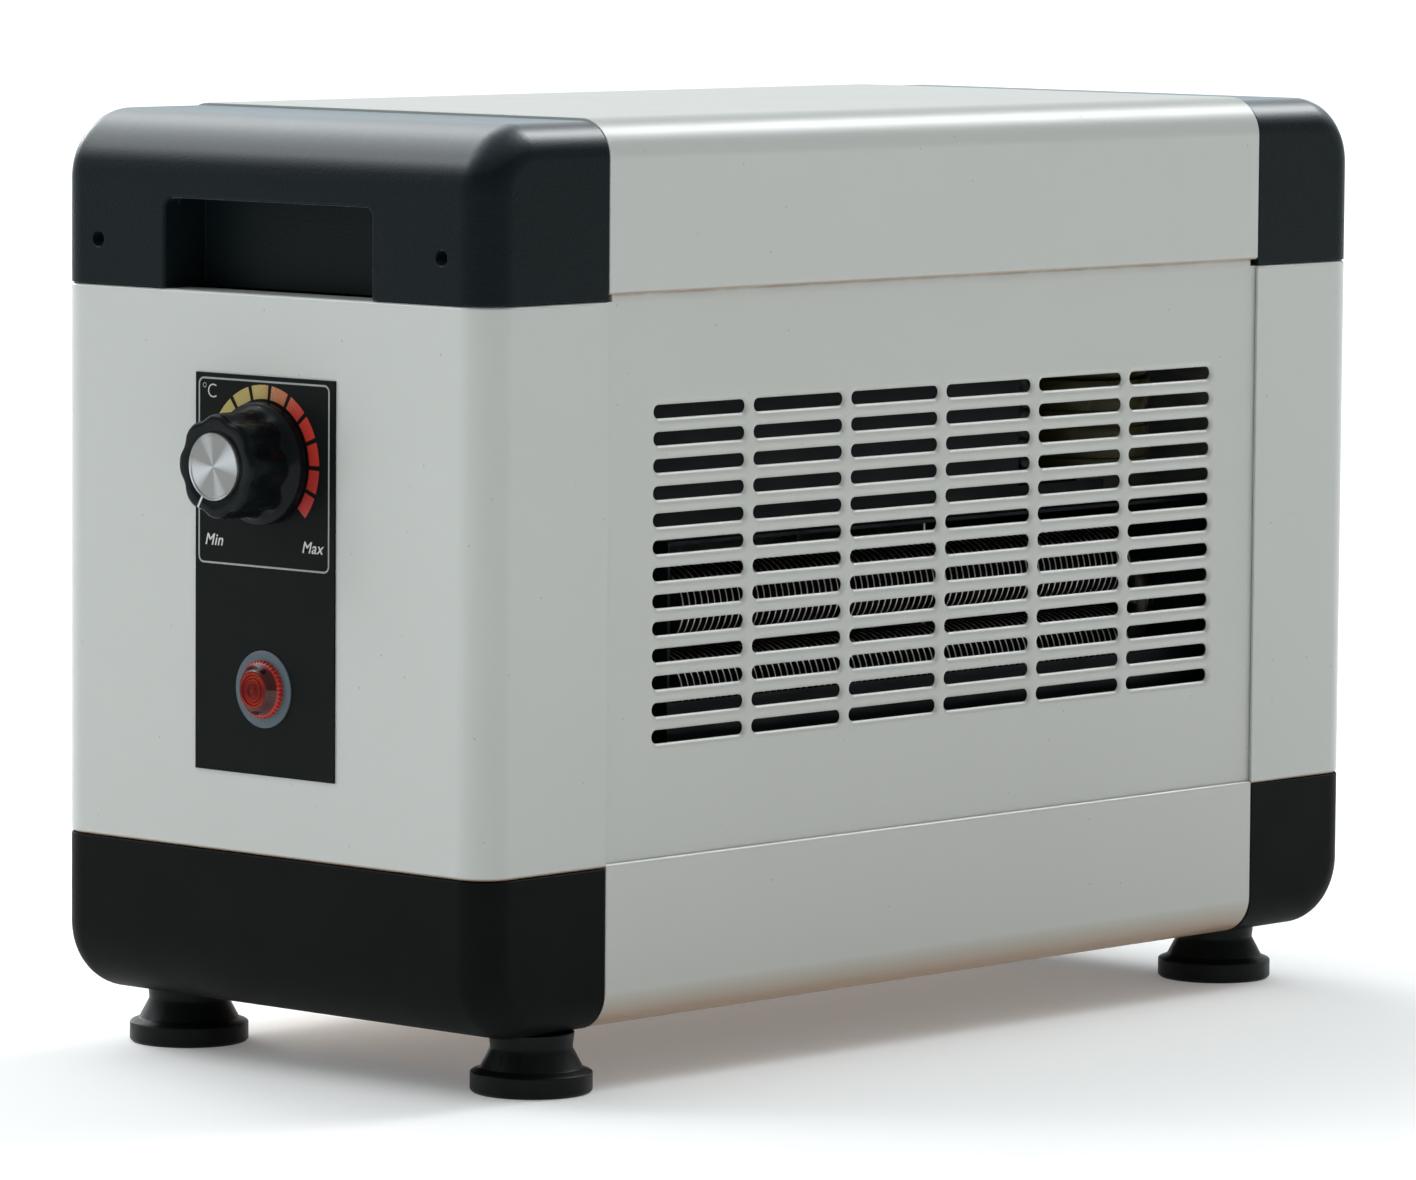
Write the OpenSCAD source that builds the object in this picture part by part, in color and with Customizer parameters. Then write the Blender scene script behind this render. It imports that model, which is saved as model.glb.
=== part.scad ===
// Free-standing fan heater: a long sheet-steel box on four levelling feet.
// The control end faces -Y, warm air leaves through the slotted +X side.
// Origin: on the floor under the middle of the box. Millimetres, +Z up.

/* [Casing] */
// Length of the box, from end face to end face
body_l = 406; // [390:1:440]
// Width of the box
body_w = 179; // [174:1:190]
// Height of the box without its feet
body_h = 267.5; // [262:0.5:290]
// Sheet thickness of covers and panels
sheet_t = 1; // [0.8:0.1:1.2]
// Outer radius of the long folded edges of the covers
fold_r = 12; // [10:0.5:14]
// Depth of each end section, from its end face to the seam
end_depth = 51.7; // [48:0.1:56]
// Height of the folded side of the top cover
top_side_h = 51.2; // [48:0.1:56]
// Height of the folded side of the bottom cover
bottom_side_h = 49.4; // [46:0.1:54]
// Gap left between neighbouring casing pieces
seam_gap = 0.2; // [0.1:0.05:0.3]
// How far the grille panels lie behind the covers
panel_recess = 1.2; // [1.1:0.1:1.6]
// Overlap of a grille panel behind the pieces round it
panel_lap = 6; // [4:0.5:8]

/* [Corner caps] */
// Height of the upper plastic corner pieces
top_cap_h = 52.1; // [50:0.1:56]
// Height of the lower plastic corner pieces
bottom_cap_h = 48.2; // [46:0.1:52]
// How far the upper corner pieces lie below the top cover
cap_step = 0.8; // [0.4:0.1:1.2]
// Wall of the corner pieces
cap_t = 3; // [2:0.1:3.2]
// Radius of the upright corners
corner_r = 11; // [9:0.5:12]
// Radius from the end face into the top or bottom
nose_r = 21; // [18:0.5:23]
// Width of the finger recess
grip_w = 86; // [76:1:96]
// Height of the finger recess at its mouth
grip_h = 26.8; // [22:0.1:28]
// Depth of the finger recess
grip_depth = 17; // [15:0.5:20]
// Corner radius of the finger recess
grip_r = 3; // [1:0.5:5]
// Extra height behind the recess's lip, for the finger tips
grip_hook = 7; // [4:0.5:8]
// Distance between the two cap screws
cap_screw_span = 142.8; // [136:0.1:146]
// Height of the cap screws above the lower edge of the cap
cap_screw_z = 13.4; // [11:0.1:16]

/* [Grilles] */
// Slots in a row
slot_cols = 6; // [5:1:6]
// Rows of slots
slot_rows = 13; // [10:1:13]
// Length of a slot, rounded ends included
slot_l = 40; // [34:0.5:41]
// Height of a slot
slot_h = 4; // [3:0.1:4.6]
// Distance between slots along a row
slot_pitch_y = 44; // [43:0.5:46]
// Distance between rows
slot_pitch_z = 8; // [7:0.1:9]

/* [Controls] */
// Width of the control plate
plate_w = 58; // [54:1:64]
// Height of the control plate
plate_h = 118; // [112:1:124]
// Thickness of the control plate
plate_t = 0.6; // [0.4:0.1:1]
// Height of the knob's axis above the middle of the plate
knob_up = 33.5; // [30:0.5:36]
// Skirt radius of the knob
knob_skirt_r = 18.1; // [17:0.1:19]
// Radius of the knob's fluted grip
knob_grip_r = 15.6; // [14.5:0.1:16]
// How far the knob stands out from the end face
knob_out = 22; // [20:0.5:25]
// Radius of the bright disc in the knob
knob_disc_r = 10.5; // [9:0.1:11.5]
// Radius of the control spindle
spindle_r = 3; // [3:0.1:3.2]
// Distance of the pilot lamp below the middle of the plate
lamp_down = 33.4; // [30:0.5:36]
// Outer radius of the lamp's ring
lamp_ring_r = 11.7; // [11:0.1:12.5]
// Radius of the lamp's lens
lamp_lens_r = 8.6; // [8:0.1:9]
// Radius of the lamp's body behind the panel
lamp_body_r = 7.9; // [7:0.1:8]

/* [Feet] */
// Height of a foot
foot_h = 18; // [16:0.5:20]
// Radius of a foot's flange
foot_r = 18.1; // [17:0.1:19]
// Distance of the front feet from the front face
front_foot_inset = 38.8; // [36:0.1:42]
// Distance of the front feet from the side faces
front_foot_side = 17.6; // [17:0.1:23.5]
// Distance of the rear feet from the rear face
rear_foot_inset = 35; // [33:0.5:42]
// Distance of the rear feet from the side faces
rear_foot_side = 27.5; // [17.5:0.5:31.5]
// Radius of the foot studs
stud_r = 4; // [3.5:0.1:4]
// Length of a stud above the foot
stud_l = 26; // [22:1:30]

/* [Chassis] */
// Thickness of the base plate
base_t = 1.5; // [1.2:0.1:2]
// Thickness of bulkheads and blower plates
plate_steel_t = 1.2; // [1:0.1:1.5]
// Width of the bulkheads' folded flanges
bulkhead_flange = 10; // [8:0.5:12]

/* [Blower] */
// Radius of the crossflow impeller
imp_r = 30; // [27:0.5:31]
// Number of impeller blades
imp_blades = 26; // [20:1:32]
// Length of the impeller
imp_l = 178; // [160:1:180]
// Sideways place of the impeller's axis
imp_x = -8; // [-10:0.5:-6]
// Height of the impeller's axis above the floor
imp_z = 184.3; // [184:0.1:186]
// Front end of the impeller
imp_y0 = -104; // [-106:1:-100]
// Radius of the blower's shaft
shaft_r = 2.5; // [2.5:0.1:3]
// Running clearance round shafts
run_gap = 0.05; // [0.02:0.01:0.09]
// Sheet thickness of the duct and scroll
duct_t = 1; // [0.8:0.1:1.2]
// Height of the air outlet
mouth_h = 60; // [59:0.5:62]
// Distance of the air outlet below the impeller's axis
mouth_drop = 26.3; // [25.3:0.1:27.3]
// Front end of the air outlet
mouth_y0 = -112; // [-114:1:-111]
// Rear end of the air outlet
mouth_y1 = 138; // [136:1:141]
// Sideways place of the duct's face plate
face_x = 65; // [64:0.5:66]
// How far the outlet's collar stands out from the face plate
collar_out = 12; // [8:1:14]
// Radius of the scroll's curve
scroll_r = 48; // [46:1:50]

/* [Heating element] */
// Sideways place of the element
element_x = 58; // [57:0.5:59]
// Distance between the element's two legs
element_span = 26; // [25.6:0.1:27]
// Height of the element's middle above the lower face of the air outlet
element_up = 26.5; // [25.8:0.1:28]
// Radius of the element's sheath
sheath_r = 4.1; // [3.5:0.1:4.3]
// Radius of the fins
fin_r = 12.5; // [11.5:0.1:12.6]
// Thickness of a fin
fin_t = 0.5; // [0.4:0.1:0.8]
// Distance from fin to fin
fin_pitch = 2.8; // [2.6:0.1:6]
// Distance of the first fin from the front end of the air outlet
fin_start = 14; // [12:1:18]
// Distance of the last fin from the element's bend, at least
bend_in = 6; // [5:0.5:20]

/* [Motor] */
// Distance of the motor's laminations from the blower's rear plate
motor_gap = 21.3; // [19:0.1:22.5]
// Thickness of the lamination stack
stack_t = 24; // [20:0.5:25]
// Height of the laminations
stack_h = 50; // [46:0.5:50]
// Radius of the motor's rotor
rotor_r = 12.5; // [11:0.1:13]
// Air gap between rotor and laminations
air_gap = 0.5; // [0.3:0.1:0.6]
// Radius of the motor's taped coil
coil_r = 21.5; // [17:0.5:21.5]

/* [Cable gland] */
// Sideways place of the gland on the rear panel
gland_x = -52; // [-56:1:-40]
// Height of the gland above the floor
gland_z = 92; // [86:1:110]
// Radius of the gland's thread
gland_r = 9.2; // [8.5:0.1:10]
// Radius of the cord's way through the gland
gland_bore_r = 4.2; // [3.5:0.1:4.5]

/* [Wiring] */
// Radius of the wires, insulation included
wire_r = 1.3; // [0.9:0.1:1.5]
// Height of the lower wire holes in the bulkheads
low_hole_z = 36; // [35:0.5:40]
// Height of the upper wire holes in the bulkheads
high_hole_z = 228; // [226:0.5:234]

/* [Hidden] */
$fn = 64;

white = [0.80, 0.80, 0.77];
black = [0.09, 0.10, 0.11];
steel = [0.62, 0.63, 0.64];

z_bottom = foot_h;
z_top = foot_h + body_h;
half_l = body_l / 2;
half_w = body_w / 2;
seam_y = half_l - end_depth;
z_top_seam = z_top - top_side_h;
z_bottom_seam = z_bottom + bottom_side_h;
z_cap_low = z_top - cap_step - top_cap_h;
z_cap_high = z_bottom + bottom_cap_h;
panel_x = half_w - panel_recess;
inner_w = 2 * (panel_x - sheet_t);
plate_z = (z_cap_high + z_cap_low) / 2;
knob_z = plate_z + knob_up;
lamp_z = plate_z - lamp_down;
face_y = -half_l;
plate_y = face_y - plate_t;
base_z0 = z_bottom + cap_t;
base_z1 = base_z0 + base_t;
bulkhead_in = 2.3;
bulkhead_y = seam_y - bulkhead_in;
front_foot_x = half_w - front_foot_side;
rear_foot_x = half_w - rear_foot_side;
front_foot_y = -half_l + front_foot_inset;
rear_foot_y = half_l - rear_foot_inset;
foot_places = [[-front_foot_x, front_foot_y], [front_foot_x, front_foot_y],
               [-rear_foot_x, rear_foot_y], [rear_foot_x, rear_foot_y]];
clear = 0.3;
over = 1;

// Heights and lengths that several parts of the blower share
mouth_z1 = imp_z - mouth_drop;
mouth_z0 = mouth_z1 - mouth_h;
imp_end_gap = 6;
blower_y1 = imp_y0 + imp_l + imp_end_gap;
motor_y0 = blower_y1 + plate_steel_t + motor_gap;
blower_top = 4;
plate_z1 = imp_z + imp_r + blower_top;
bulb_up = 25.7;
bulb_z = plate_z1 + bulb_up;
seal_out = 12;
pin_l = 12;
cutout_x = 40;
cutout_y = 18;
cutout_h = 10;

// Flat outline: a block from low to top whose two upper corners are round
module arch_outline(w, low, top, r) {
    translate([-w / 2, low]) square([w, top - r - low]);
    translate([-w / 2 + r, low]) square([w - 2 * r, top - low]);
    for (side = [-1, 1]) translate([side * (w / 2 - r), top - r]) circle(r);
}

// The same outline swept along Y
module arch_bar(w, low, top, r, y0, y1) {
    translate([0, y1, 0]) rotate([90, 0, 0]) linear_extrude(y1 - y0)
        arch_outline(w, low, top, r);
}

// Solid nose of the box: upright corners, roof edges and the large front curve
module nose_form(w, front, top, nose, r, low, back) {
    translate([0, 0, low]) linear_extrude(top - nose - low)
        plan_outline(w, front, back, r);
    arch_bar(w, low, top, r, front + nose, back);
    translate([0, front + nose, top - nose]) rotate([0, 90, 0]) rotate_extrude()
        nose_profile(w, nose, r);
}

// Plan of an end section: front corners round, back edge straight
module plan_outline(w, front, back, r) {
    translate([-w / 2, front + r]) square([w, back - front - r]);
    translate([-w / 2 + r, front]) square([w - 2 * r, back - front]);
    for (side = [-1, 1]) translate([side * (w / 2 - r), front + r]) circle(r);
}

// Half section of the front curve, with both rims round
module nose_profile(w, nose, r) {
    intersection() {
        union() {
            translate([0, -w / 2 + r]) square([nose, w - 2 * r]);
            translate([0, -w / 2]) square([nose - r, w]);
            for (side = [-1, 1]) translate([nose - r, side * (w / 2 - r)]) circle(r);
        }
        translate([0, -w / 2]) square([nose, w]);
    }
}

// Bar along Y
module bar_y(r, y0, y1) {
    translate([0, y1, 0]) rotate([90, 0, 0]) cylinder(h = y1 - y0, r = r);
}

// Block given by its two corners
module block(a, b) {
    translate(a) cube([b[0] - a[0], b[1] - a[1], b[2] - a[2]]);
}

// Covers and panels

module top_cover() {
    color(white) difference() {
        arch_bar(body_w, z_top_seam, z_top, fold_r, -seam_y, seam_y);
        arch_bar(body_w - 2 * sheet_t, z_top_seam - over, z_top - sheet_t, fold_r - sheet_t,
                 -seam_y - over, seam_y + over);
    }
}

module bottom_cover() {
    color(white) difference() {
        mirror([0, 0, 1]) difference() {
            arch_bar(body_w, -z_bottom_seam, -z_bottom, fold_r, -seam_y, seam_y);
            arch_bar(body_w - 2 * sheet_t, -z_bottom_seam - over, -z_bottom - sheet_t,
                     fold_r - sheet_t, -seam_y - over, seam_y + over);
        }
        base_screw_holes(z_bottom - over, z_bottom + sheet_t + over);
    }
}

slot_rise = 0.2;
slot_mid_z = (z_top_seam + z_bottom_seam) / 2 + slot_rise;

module slot(x0, x1) {
    half = (slot_l - slot_h) / 2;
    translate([x0, 0, 0]) rotate([90, 0, 90]) linear_extrude(x1 - x0) {
        square([2 * half, slot_h], center = true);
        for (side = [-1, 1]) translate([side * half, 0]) circle(slot_h / 2, $fn = 24);
    }
}

module slot_field(x0, x1) {
    for (row = [0 : slot_rows - 1], col = [0 : slot_cols - 1])
        translate([0, (col - (slot_cols - 1) / 2) * slot_pitch_y,
                   slot_mid_z + (row - (slot_rows - 1) / 2) * slot_pitch_z]) slot(x0, x1);
}

module outlet_grille() {
    color(white) difference() {
        union() {
            block([panel_x - sheet_t, -bulkhead_y, z_bottom_seam - panel_lap],
                  [panel_x, bulkhead_y, z_top_seam + panel_lap]);
            block([panel_x - sheet_t, -seam_y - panel_lap, z_cap_high + 2 * seam_gap],
                  [panel_x, seam_y + panel_lap, z_cap_low - 2 * seam_gap]);
        }
        slot_field(panel_x - sheet_t - over, panel_x + over);
    }
}

module intake_grille() {
    mirror([1, 0, 0]) outlet_grille();
}

panel_z0 = z_cap_high + seam_gap;
panel_z1 = z_cap_low - seam_gap;
flange_in = 14;
front_flange_in = 24;
tab_w = 16;
tab_h = 22;
tab_in = 12;
tab_y = face_y + tab_in;

module panel_shell() {
    difference() {
        translate([0, 0, panel_z0]) linear_extrude(panel_z1 - panel_z0)
            plan_outline(body_w, face_y, -seam_y - seam_gap, corner_r);
        translate([0, 0, panel_z0 + sheet_t]) linear_extrude(panel_z1 - panel_z0 - 2 * sheet_t)
            plan_outline(body_w - 2 * sheet_t, face_y + sheet_t, -seam_y + over,
                         corner_r - sheet_t);
        translate([0, 0, panel_z0 - over]) linear_extrude(panel_z1 - panel_z0 + 2 * over)
            plan_outline(body_w - 2 * flange_in, face_y + front_flange_in, -seam_y + over, corner_r);
        for (z = [panel_z0 - over, panel_z1 - sheet_t])
            block([-half_w + sheet_t, -seam_y - panel_lap - clear, z],
                  [half_w - sheet_t, -seam_y + over, z + sheet_t + over]);
    }
}

module panel_tabs() {
    for (side = [-1, 1]) difference() {
        block([side * cap_screw_span / 2 - tab_w / 2, tab_y, panel_z1 - sheet_t],
              [side * cap_screw_span / 2 + tab_w / 2, tab_y + sheet_t, panel_z1 + tab_h]);
        translate([side * cap_screw_span / 2, 0, z_cap_low + cap_screw_z])
            bar_y(cap_screw_r + run_gap, tab_y - over, tab_y + sheet_t + over);
    }
}

cap_screw_r = 1.5;
cap_screw_head_r = 2.2;
cap_screw_head_t = 1.6;
cap_head_y = tab_y - 2 * cap_t;
// Half length, half width and depth of the cross recess in a cap screw
cap_cross = [1.5, 0.3, 0.8];
cap_hole_r = 2.35;
bush_r = 4.5;

module front_end_panel() {
    color(white) {
        difference() {
            panel_shell();
            translate([0, 0, knob_z]) bar_y(bush_r + clear, face_y - over, face_y + 2 * over);
            translate([0, 0, lamp_z]) bar_y(lamp_body_r + clear, face_y - over, face_y + 2 * over);
        }
        panel_tabs();
    }
}

module rear_end_panel() {
    color(white) mirror([0, 1, 0]) {
        difference() {
            panel_shell();
            translate([gland_x, 0, gland_z]) bar_y(gland_r + clear, face_y - over, face_y + 2 * over);
        }
        panel_tabs();
    }
}

// Corner caps

module cap_shell(top, low) {
    difference() {
        nose_form(body_w, face_y, top, nose_r, corner_r, low, -seam_y - seam_gap);
        nose_form(body_w - 2 * cap_t, face_y + cap_t, top - cap_t, nose_r - cap_t,
                  corner_r - cap_t, low - over, -seam_y + over);
    }
}

grip_lip = 6;
boss_r = 4.8;

// Block along Y with round upper corners, open downward
module grip_block(w, y0, y1, h, r) {
    arch_bar(w, z_cap_low - over, z_cap_low + h, r, y0, y1);
}

module grip_space() {
    grip_block(grip_w, face_y - over, face_y + grip_depth, grip_h, grip_r);
    grip_block(grip_w, face_y + grip_lip, face_y + grip_depth, grip_h + grip_hook, grip_r);
}

module cap_top_front() {
    top = z_top - cap_step;
    difference() {
        union() {
            cap_shell(top, z_cap_low);
            intersection() {
                arch_bar(grip_w + 2 * cap_t, z_cap_low, z_cap_low + grip_h + grip_hook + cap_t,
                         grip_r + cap_t, face_y, face_y + grip_depth + cap_t);
                nose_form(body_w, face_y, top, nose_r, corner_r, z_cap_low, -seam_y);
            }
            for (side = [-1, 1]) translate([side * cap_screw_span / 2, 0, z_cap_low + cap_screw_z])
                bar_y(boss_r, face_y + cap_t / 2, tab_y);
        }
        grip_space();
        for (side = [-1, 1]) translate([side * cap_screw_span / 2, 0, z_cap_low + cap_screw_z]) {
            bar_y(cap_screw_r + run_gap, face_y, tab_y + over);
            bar_y(cap_hole_r, face_y - over, cap_head_y);
        }
    }
}

module front_top_cap() {
    color(black) cap_top_front();
}

module rear_top_cap() {
    color(black) mirror([0, 1, 0]) cap_top_front();
}

stud_gap = 0.4;

module cap_bottom(foot_x, foot_y) {
    difference() {
        mirror([0, 0, 1]) cap_shell(-z_bottom, -z_cap_high);
        for (side = [-1, 1]) translate([side * foot_x, foot_y, z_bottom - over])
            cylinder(h = cap_t + 2 * over, r = stud_r + stud_gap);
    }
}

module front_bottom_cap() {
    color(black) cap_bottom(front_foot_x, front_foot_y);
}

module rear_bottom_cap() {
    color(black) mirror([0, 1, 0]) cap_bottom(rear_foot_x, -rear_foot_y);
}

module cap_screws() {
    color(steel) for (end = [0, 1], side = [-1, 1]) mirror([0, end, 0])
        translate([side * cap_screw_span / 2, 0, z_cap_low + cap_screw_z]) difference() {
            union() {
                bar_y(cap_screw_r, cap_head_y, tab_y + 4 * sheet_t);
                bar_y(cap_screw_head_r, cap_head_y - cap_screw_head_t, cap_head_y);
            }
            translate([0, cap_head_y - cap_screw_head_t, 0]) rotate([-90, 0, 0])
                cross_recess(cap_cross);
        }
}

// Cross recess in a screw head whose face lies at z = 0
module cross_recess(size) {
    block([-size[0], -size[1], -over], [size[0], size[1], size[2]]);
    block([-size[1], -size[0], -over], [size[1], size[0], size[2]]);
}

// Chassis

module bulkhead_at(y) {
    w = inner_w - 2 * seam_gap;
    top = z_top - sheet_t - seam_gap;
    r = fold_r - sheet_t;
    difference() {
        intersection() {
            arch_bar(w, base_z1, top, r, y - bulkhead_flange, y);
            mirror([0, 0, 1]) arch_bar(w, -top, -base_z1, r, y - bulkhead_flange, y);
        }
        intersection() {
            arch_bar(w - 2 * plate_steel_t, base_z1 + plate_steel_t, top - plate_steel_t,
                     r - plate_steel_t, y - bulkhead_flange - over, y - plate_steel_t);
            mirror([0, 0, 1]) arch_bar(w - 2 * plate_steel_t, -top + plate_steel_t,
                                       -base_z1 - plate_steel_t, r - plate_steel_t,
                                       y - bulkhead_flange - over, y - plate_steel_t);
        }
        for (p = wire_holes) translate([p[0], 0, p[1]])
            bar_y(wire_hole_r, y - 2 * plate_steel_t, y + over);
        translate([capillary_x, 0, bulb_z]) bar_y(capillary_hole_r, y - 2 * plate_steel_t, y + over);
    }
}

wire_hole_r = 9;
wire_holes = [[-28, low_hole_z], [40, high_hole_z]];
capillary_x = -13;
capillary_hole_r = 2.5;

module rear_bulkhead() {
    color(steel) bulkhead_at(bulkhead_y);
}

module front_bulkhead() {
    color(steel) mirror([0, 1, 0]) bulkhead_at(bulkhead_y);
}

base_side_gap = 0.5;
base_end_gap = 2;
base_half_w = half_w - corner_r - base_side_gap;
base_half_l = half_l - nose_r - base_end_gap;
base_screw_r = 1.9;
base_screw_head_r = 3.6;
base_screw_head_t = 2;
base_screw_out = 5;
spacer_r = 4;
// Half length, half width and depth of the cross recess in a base screw
base_cross = [2.2, 0.4, 1];
base_screw_side = 27.5;
base_screw_end = 83;
base_screw_places = [for (side = [-1, 1], end = [-1, 1])
    [side * (half_w - base_screw_side), end * (half_l - base_screw_end)]];

module base_screw_holes(z0, z1) {
    for (p = base_screw_places) translate([p[0], p[1], z0])
        cylinder(h = z1 - z0, r = base_screw_r + run_gap);
}

module base_plate() {
    color(steel) difference() {
        block([-base_half_w, -base_half_l, base_z0], [base_half_w, base_half_l, base_z1]);
        for (p = foot_places) translate([p[0], p[1], base_z0 - over])
            cylinder(h = base_t + 2 * over, r = stud_r + stud_gap);
        base_screw_holes(base_z0 - over, base_z1 + over);
    }
}

module base_spacers() {
    color(steel) for (p = base_screw_places) translate([p[0], p[1], z_bottom + sheet_t])
        difference() {
            cylinder(h = base_z0 - z_bottom - sheet_t, r = spacer_r);
            translate([0, 0, -over]) cylinder(h = base_z1, r = base_screw_r + run_gap);
        }
}

module base_screws() {
    color(steel) for (p = base_screw_places) translate([p[0], p[1], z_bottom]) difference() {
        union() {
            cylinder(h = base_z1 - z_bottom + base_screw_out, r = base_screw_r);
            translate([0, 0, -base_screw_head_t])
                cylinder(h = base_screw_head_t, r = base_screw_head_r);
        }
        translate([0, 0, -base_screw_head_t]) cross_recess(base_cross);
    }
}

// Controls

module control_plate() {
    color([0.05, 0.05, 0.05]) difference() {
        block([-plate_w / 2, plate_y, plate_z - plate_h / 2],
              [plate_w / 2, face_y, plate_z + plate_h / 2]);
        translate([0, 0, knob_z]) bar_y(bush_r + clear, plate_y - over, face_y + over);
        translate([0, 0, lamp_z]) bar_y(lamp_body_r + clear, plate_y - over, face_y + over);
    }
}

lamp_ring_t = 0.5;
lens_out = 5.2;
lens_wall = 1.4;
// Outline of the lens from its base up: how far inside its radius, and its height
lens_line = [[0, 0], [0, 1.2], [0.7, 1.6], [2.2, lens_out - 0.9], [3.2, lens_out]];
lens_hollow_r = lamp_lens_r - 3.4;

module pilot_ring() {
    color([0.55, 0.56, 0.57]) translate([0, 0, lamp_z]) difference() {
        bar_y(lamp_ring_r, plate_y - lamp_ring_t, plate_y);
        bar_y(lamp_body_r + clear, plate_y - lamp_ring_t - over, plate_y + over);
    }
}

module pilot_lens() {
    color([0.75, 0.06, 0.05]) translate([0, plate_y - lamp_ring_t, lamp_z]) rotate([90, 0, 0])
        difference() {
            rotate_extrude() polygon([[0, 0], for (p = lens_line) [lamp_lens_r - p[0], p[1]],
                                      [0, lens_out]]);
            translate([0, 0, -over]) cylinder(h = lens_out - lens_wall + over, r = lens_hollow_r);
        }
}

lamp_body_l = 26;
lamp_nut_r = 10.5;
lamp_nut_t = 4;
// Flat connector tabs: length, half width, half thickness, and places on the parts
spade_l = 8;
spade_w = 3.1;
spade_t = 0.4;
lamp_spade = 3;
switch_spade = 9;
cutout_spade = 4;

module pilot_body() {
    color([0.85, 0.85, 0.82]) translate([0, 0, lamp_z]) {
        bar_y(lamp_body_r, plate_y - lamp_ring_t, face_y + lamp_body_l);
        bar_y(lamp_nut_r, face_y + sheet_t, face_y + sheet_t + lamp_nut_t);
        for (side = [-1, 1])
            block([side * lamp_spade - spade_t, face_y + lamp_body_l, -spade_w],
                  [side * lamp_spade + spade_t, face_y + lamp_body_l + spade_l, spade_w]);
    }
}

thermostat_w = 34;
thermostat_d = 28;
bush_out = 7;
spindle_in = 11;
spindle_out = 15;
thermostat_y1 = face_y + sheet_t + thermostat_d;

module thermostat() {
    color([0.75, 0.74, 0.70]) difference() {
        union() {
            block([-thermostat_w / 2, face_y + sheet_t, knob_z - thermostat_w / 2],
                  [thermostat_w / 2, thermostat_y1, knob_z + thermostat_w / 2]);
            translate([0, 0, knob_z]) bar_y(bush_r, plate_y - bush_out, face_y + 2 * sheet_t);
            for (side = [-1, 1], up = [-1, 1])
                block([side * switch_spade - spade_w, thermostat_y1,
                       knob_z + up * switch_spade - spade_t],
                      [side * switch_spade + spade_w, thermostat_y1 + spade_l,
                       knob_z + up * switch_spade + spade_t]);
        }
        translate([0, 0, knob_z])
            bar_y(spindle_r + run_gap, plate_y - bush_out - over, face_y + spindle_in + over);
    }
}

nut_t = 2.4;
bush_nut_r = 7.5;

module thermostat_nut() {
    color(steel) translate([0, 0, knob_z]) difference() {
        translate([0, plate_y, 0]) rotate([90, 0, 0])
            cylinder(h = nut_t, r = bush_nut_r, $fn = 6);
        bar_y(bush_r + run_gap, plate_y - nut_t - over, plate_y + over);
    }
}

// Thermostat's capillary: up behind the panel, through the bulkhead to the sensing bulb
bulb_r = 3;
bulb_l = 70;
capillary_r = 1;
capillary_bend = 8;
capillary_out = 4;
bulkhead_in_y = -bulkhead_y + plate_steel_t;
bulb_in = 24;
bulb_y0 = bulkhead_in_y + bulb_in;

// Quarter turn in the YZ plane, centre at y and z, from angle a to a + 90
module bend_yz(y, z, a) {
    translate([0, y, z]) rotate([90, 0, 90]) rotate([0, 0, a])
        rotate_extrude(angle = 90) translate([capillary_bend, 0]) circle(capillary_r, $fn = 16);
}

module capillary() {
    rise_y = thermostat_y1 + capillary_out + capillary_bend;
    color([0.72, 0.45, 0.3]) translate([capillary_x, 0, 0]) {
        translate([0, 0, knob_z]) bar_y(capillary_r, thermostat_y1, rise_y - capillary_bend);
        bend_yz(rise_y - capillary_bend, knob_z + capillary_bend, -90);
        translate([0, rise_y, knob_z + capillary_bend])
            cylinder(h = bulb_z - knob_z - 2 * capillary_bend, r = capillary_r);
        bend_yz(rise_y + capillary_bend, bulb_z - capillary_bend, 90);
        translate([0, 0, bulb_z]) bar_y(capillary_r, rise_y + capillary_bend, bulb_y0 + over);
        translate([0, 0, bulb_z]) bar_y(bulb_r, bulb_y0, bulb_y0 + bulb_l);
    }
}

clip_w = 14;
clip_foot_h = 10;
clip_ring_w = 6;
clip_ring_in = 8;

module bulb_clip() {
    low = bulb_z - bulb_r - plate_steel_t;
    color(steel) {
        block([capillary_x - clip_w / 2, bulkhead_in_y, low - clip_foot_h],
              [capillary_x + clip_w / 2, bulkhead_in_y + plate_steel_t, low + plate_steel_t]);
        block([capillary_x - clip_w / 2, bulkhead_in_y, low],
              [capillary_x + clip_w / 2, bulb_y0 + bulb_l - clip_ring_w, low + plate_steel_t]);
        for (y = [bulb_y0 + clip_ring_in, bulb_y0 + bulb_l - clip_ring_in - clip_ring_w])
            translate([capillary_x, y, bulb_z]) difference() {
                bar_y(bulb_r + plate_steel_t, 0, clip_ring_w);
                bar_y(bulb_r + run_gap, -over, clip_ring_w + over);
            }
    }
}

// Terminal block in the rear compartment, next to the gland
block_in = 20;
block_d = 20;
block_y1 = half_l - block_in;
block_y0 = block_y1 - block_d;
block_foot = 3;
block_foot_t = 4;
block_h = 17;
ways = 5;
way_pitch = 12;
way_x0 = -46;
way_r = 2;
way_screw_r = 2.6;
way_up = 8;
way_z = base_z1 + way_up;

function way_x(k) = way_x0 + way_pitch * k;

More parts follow.
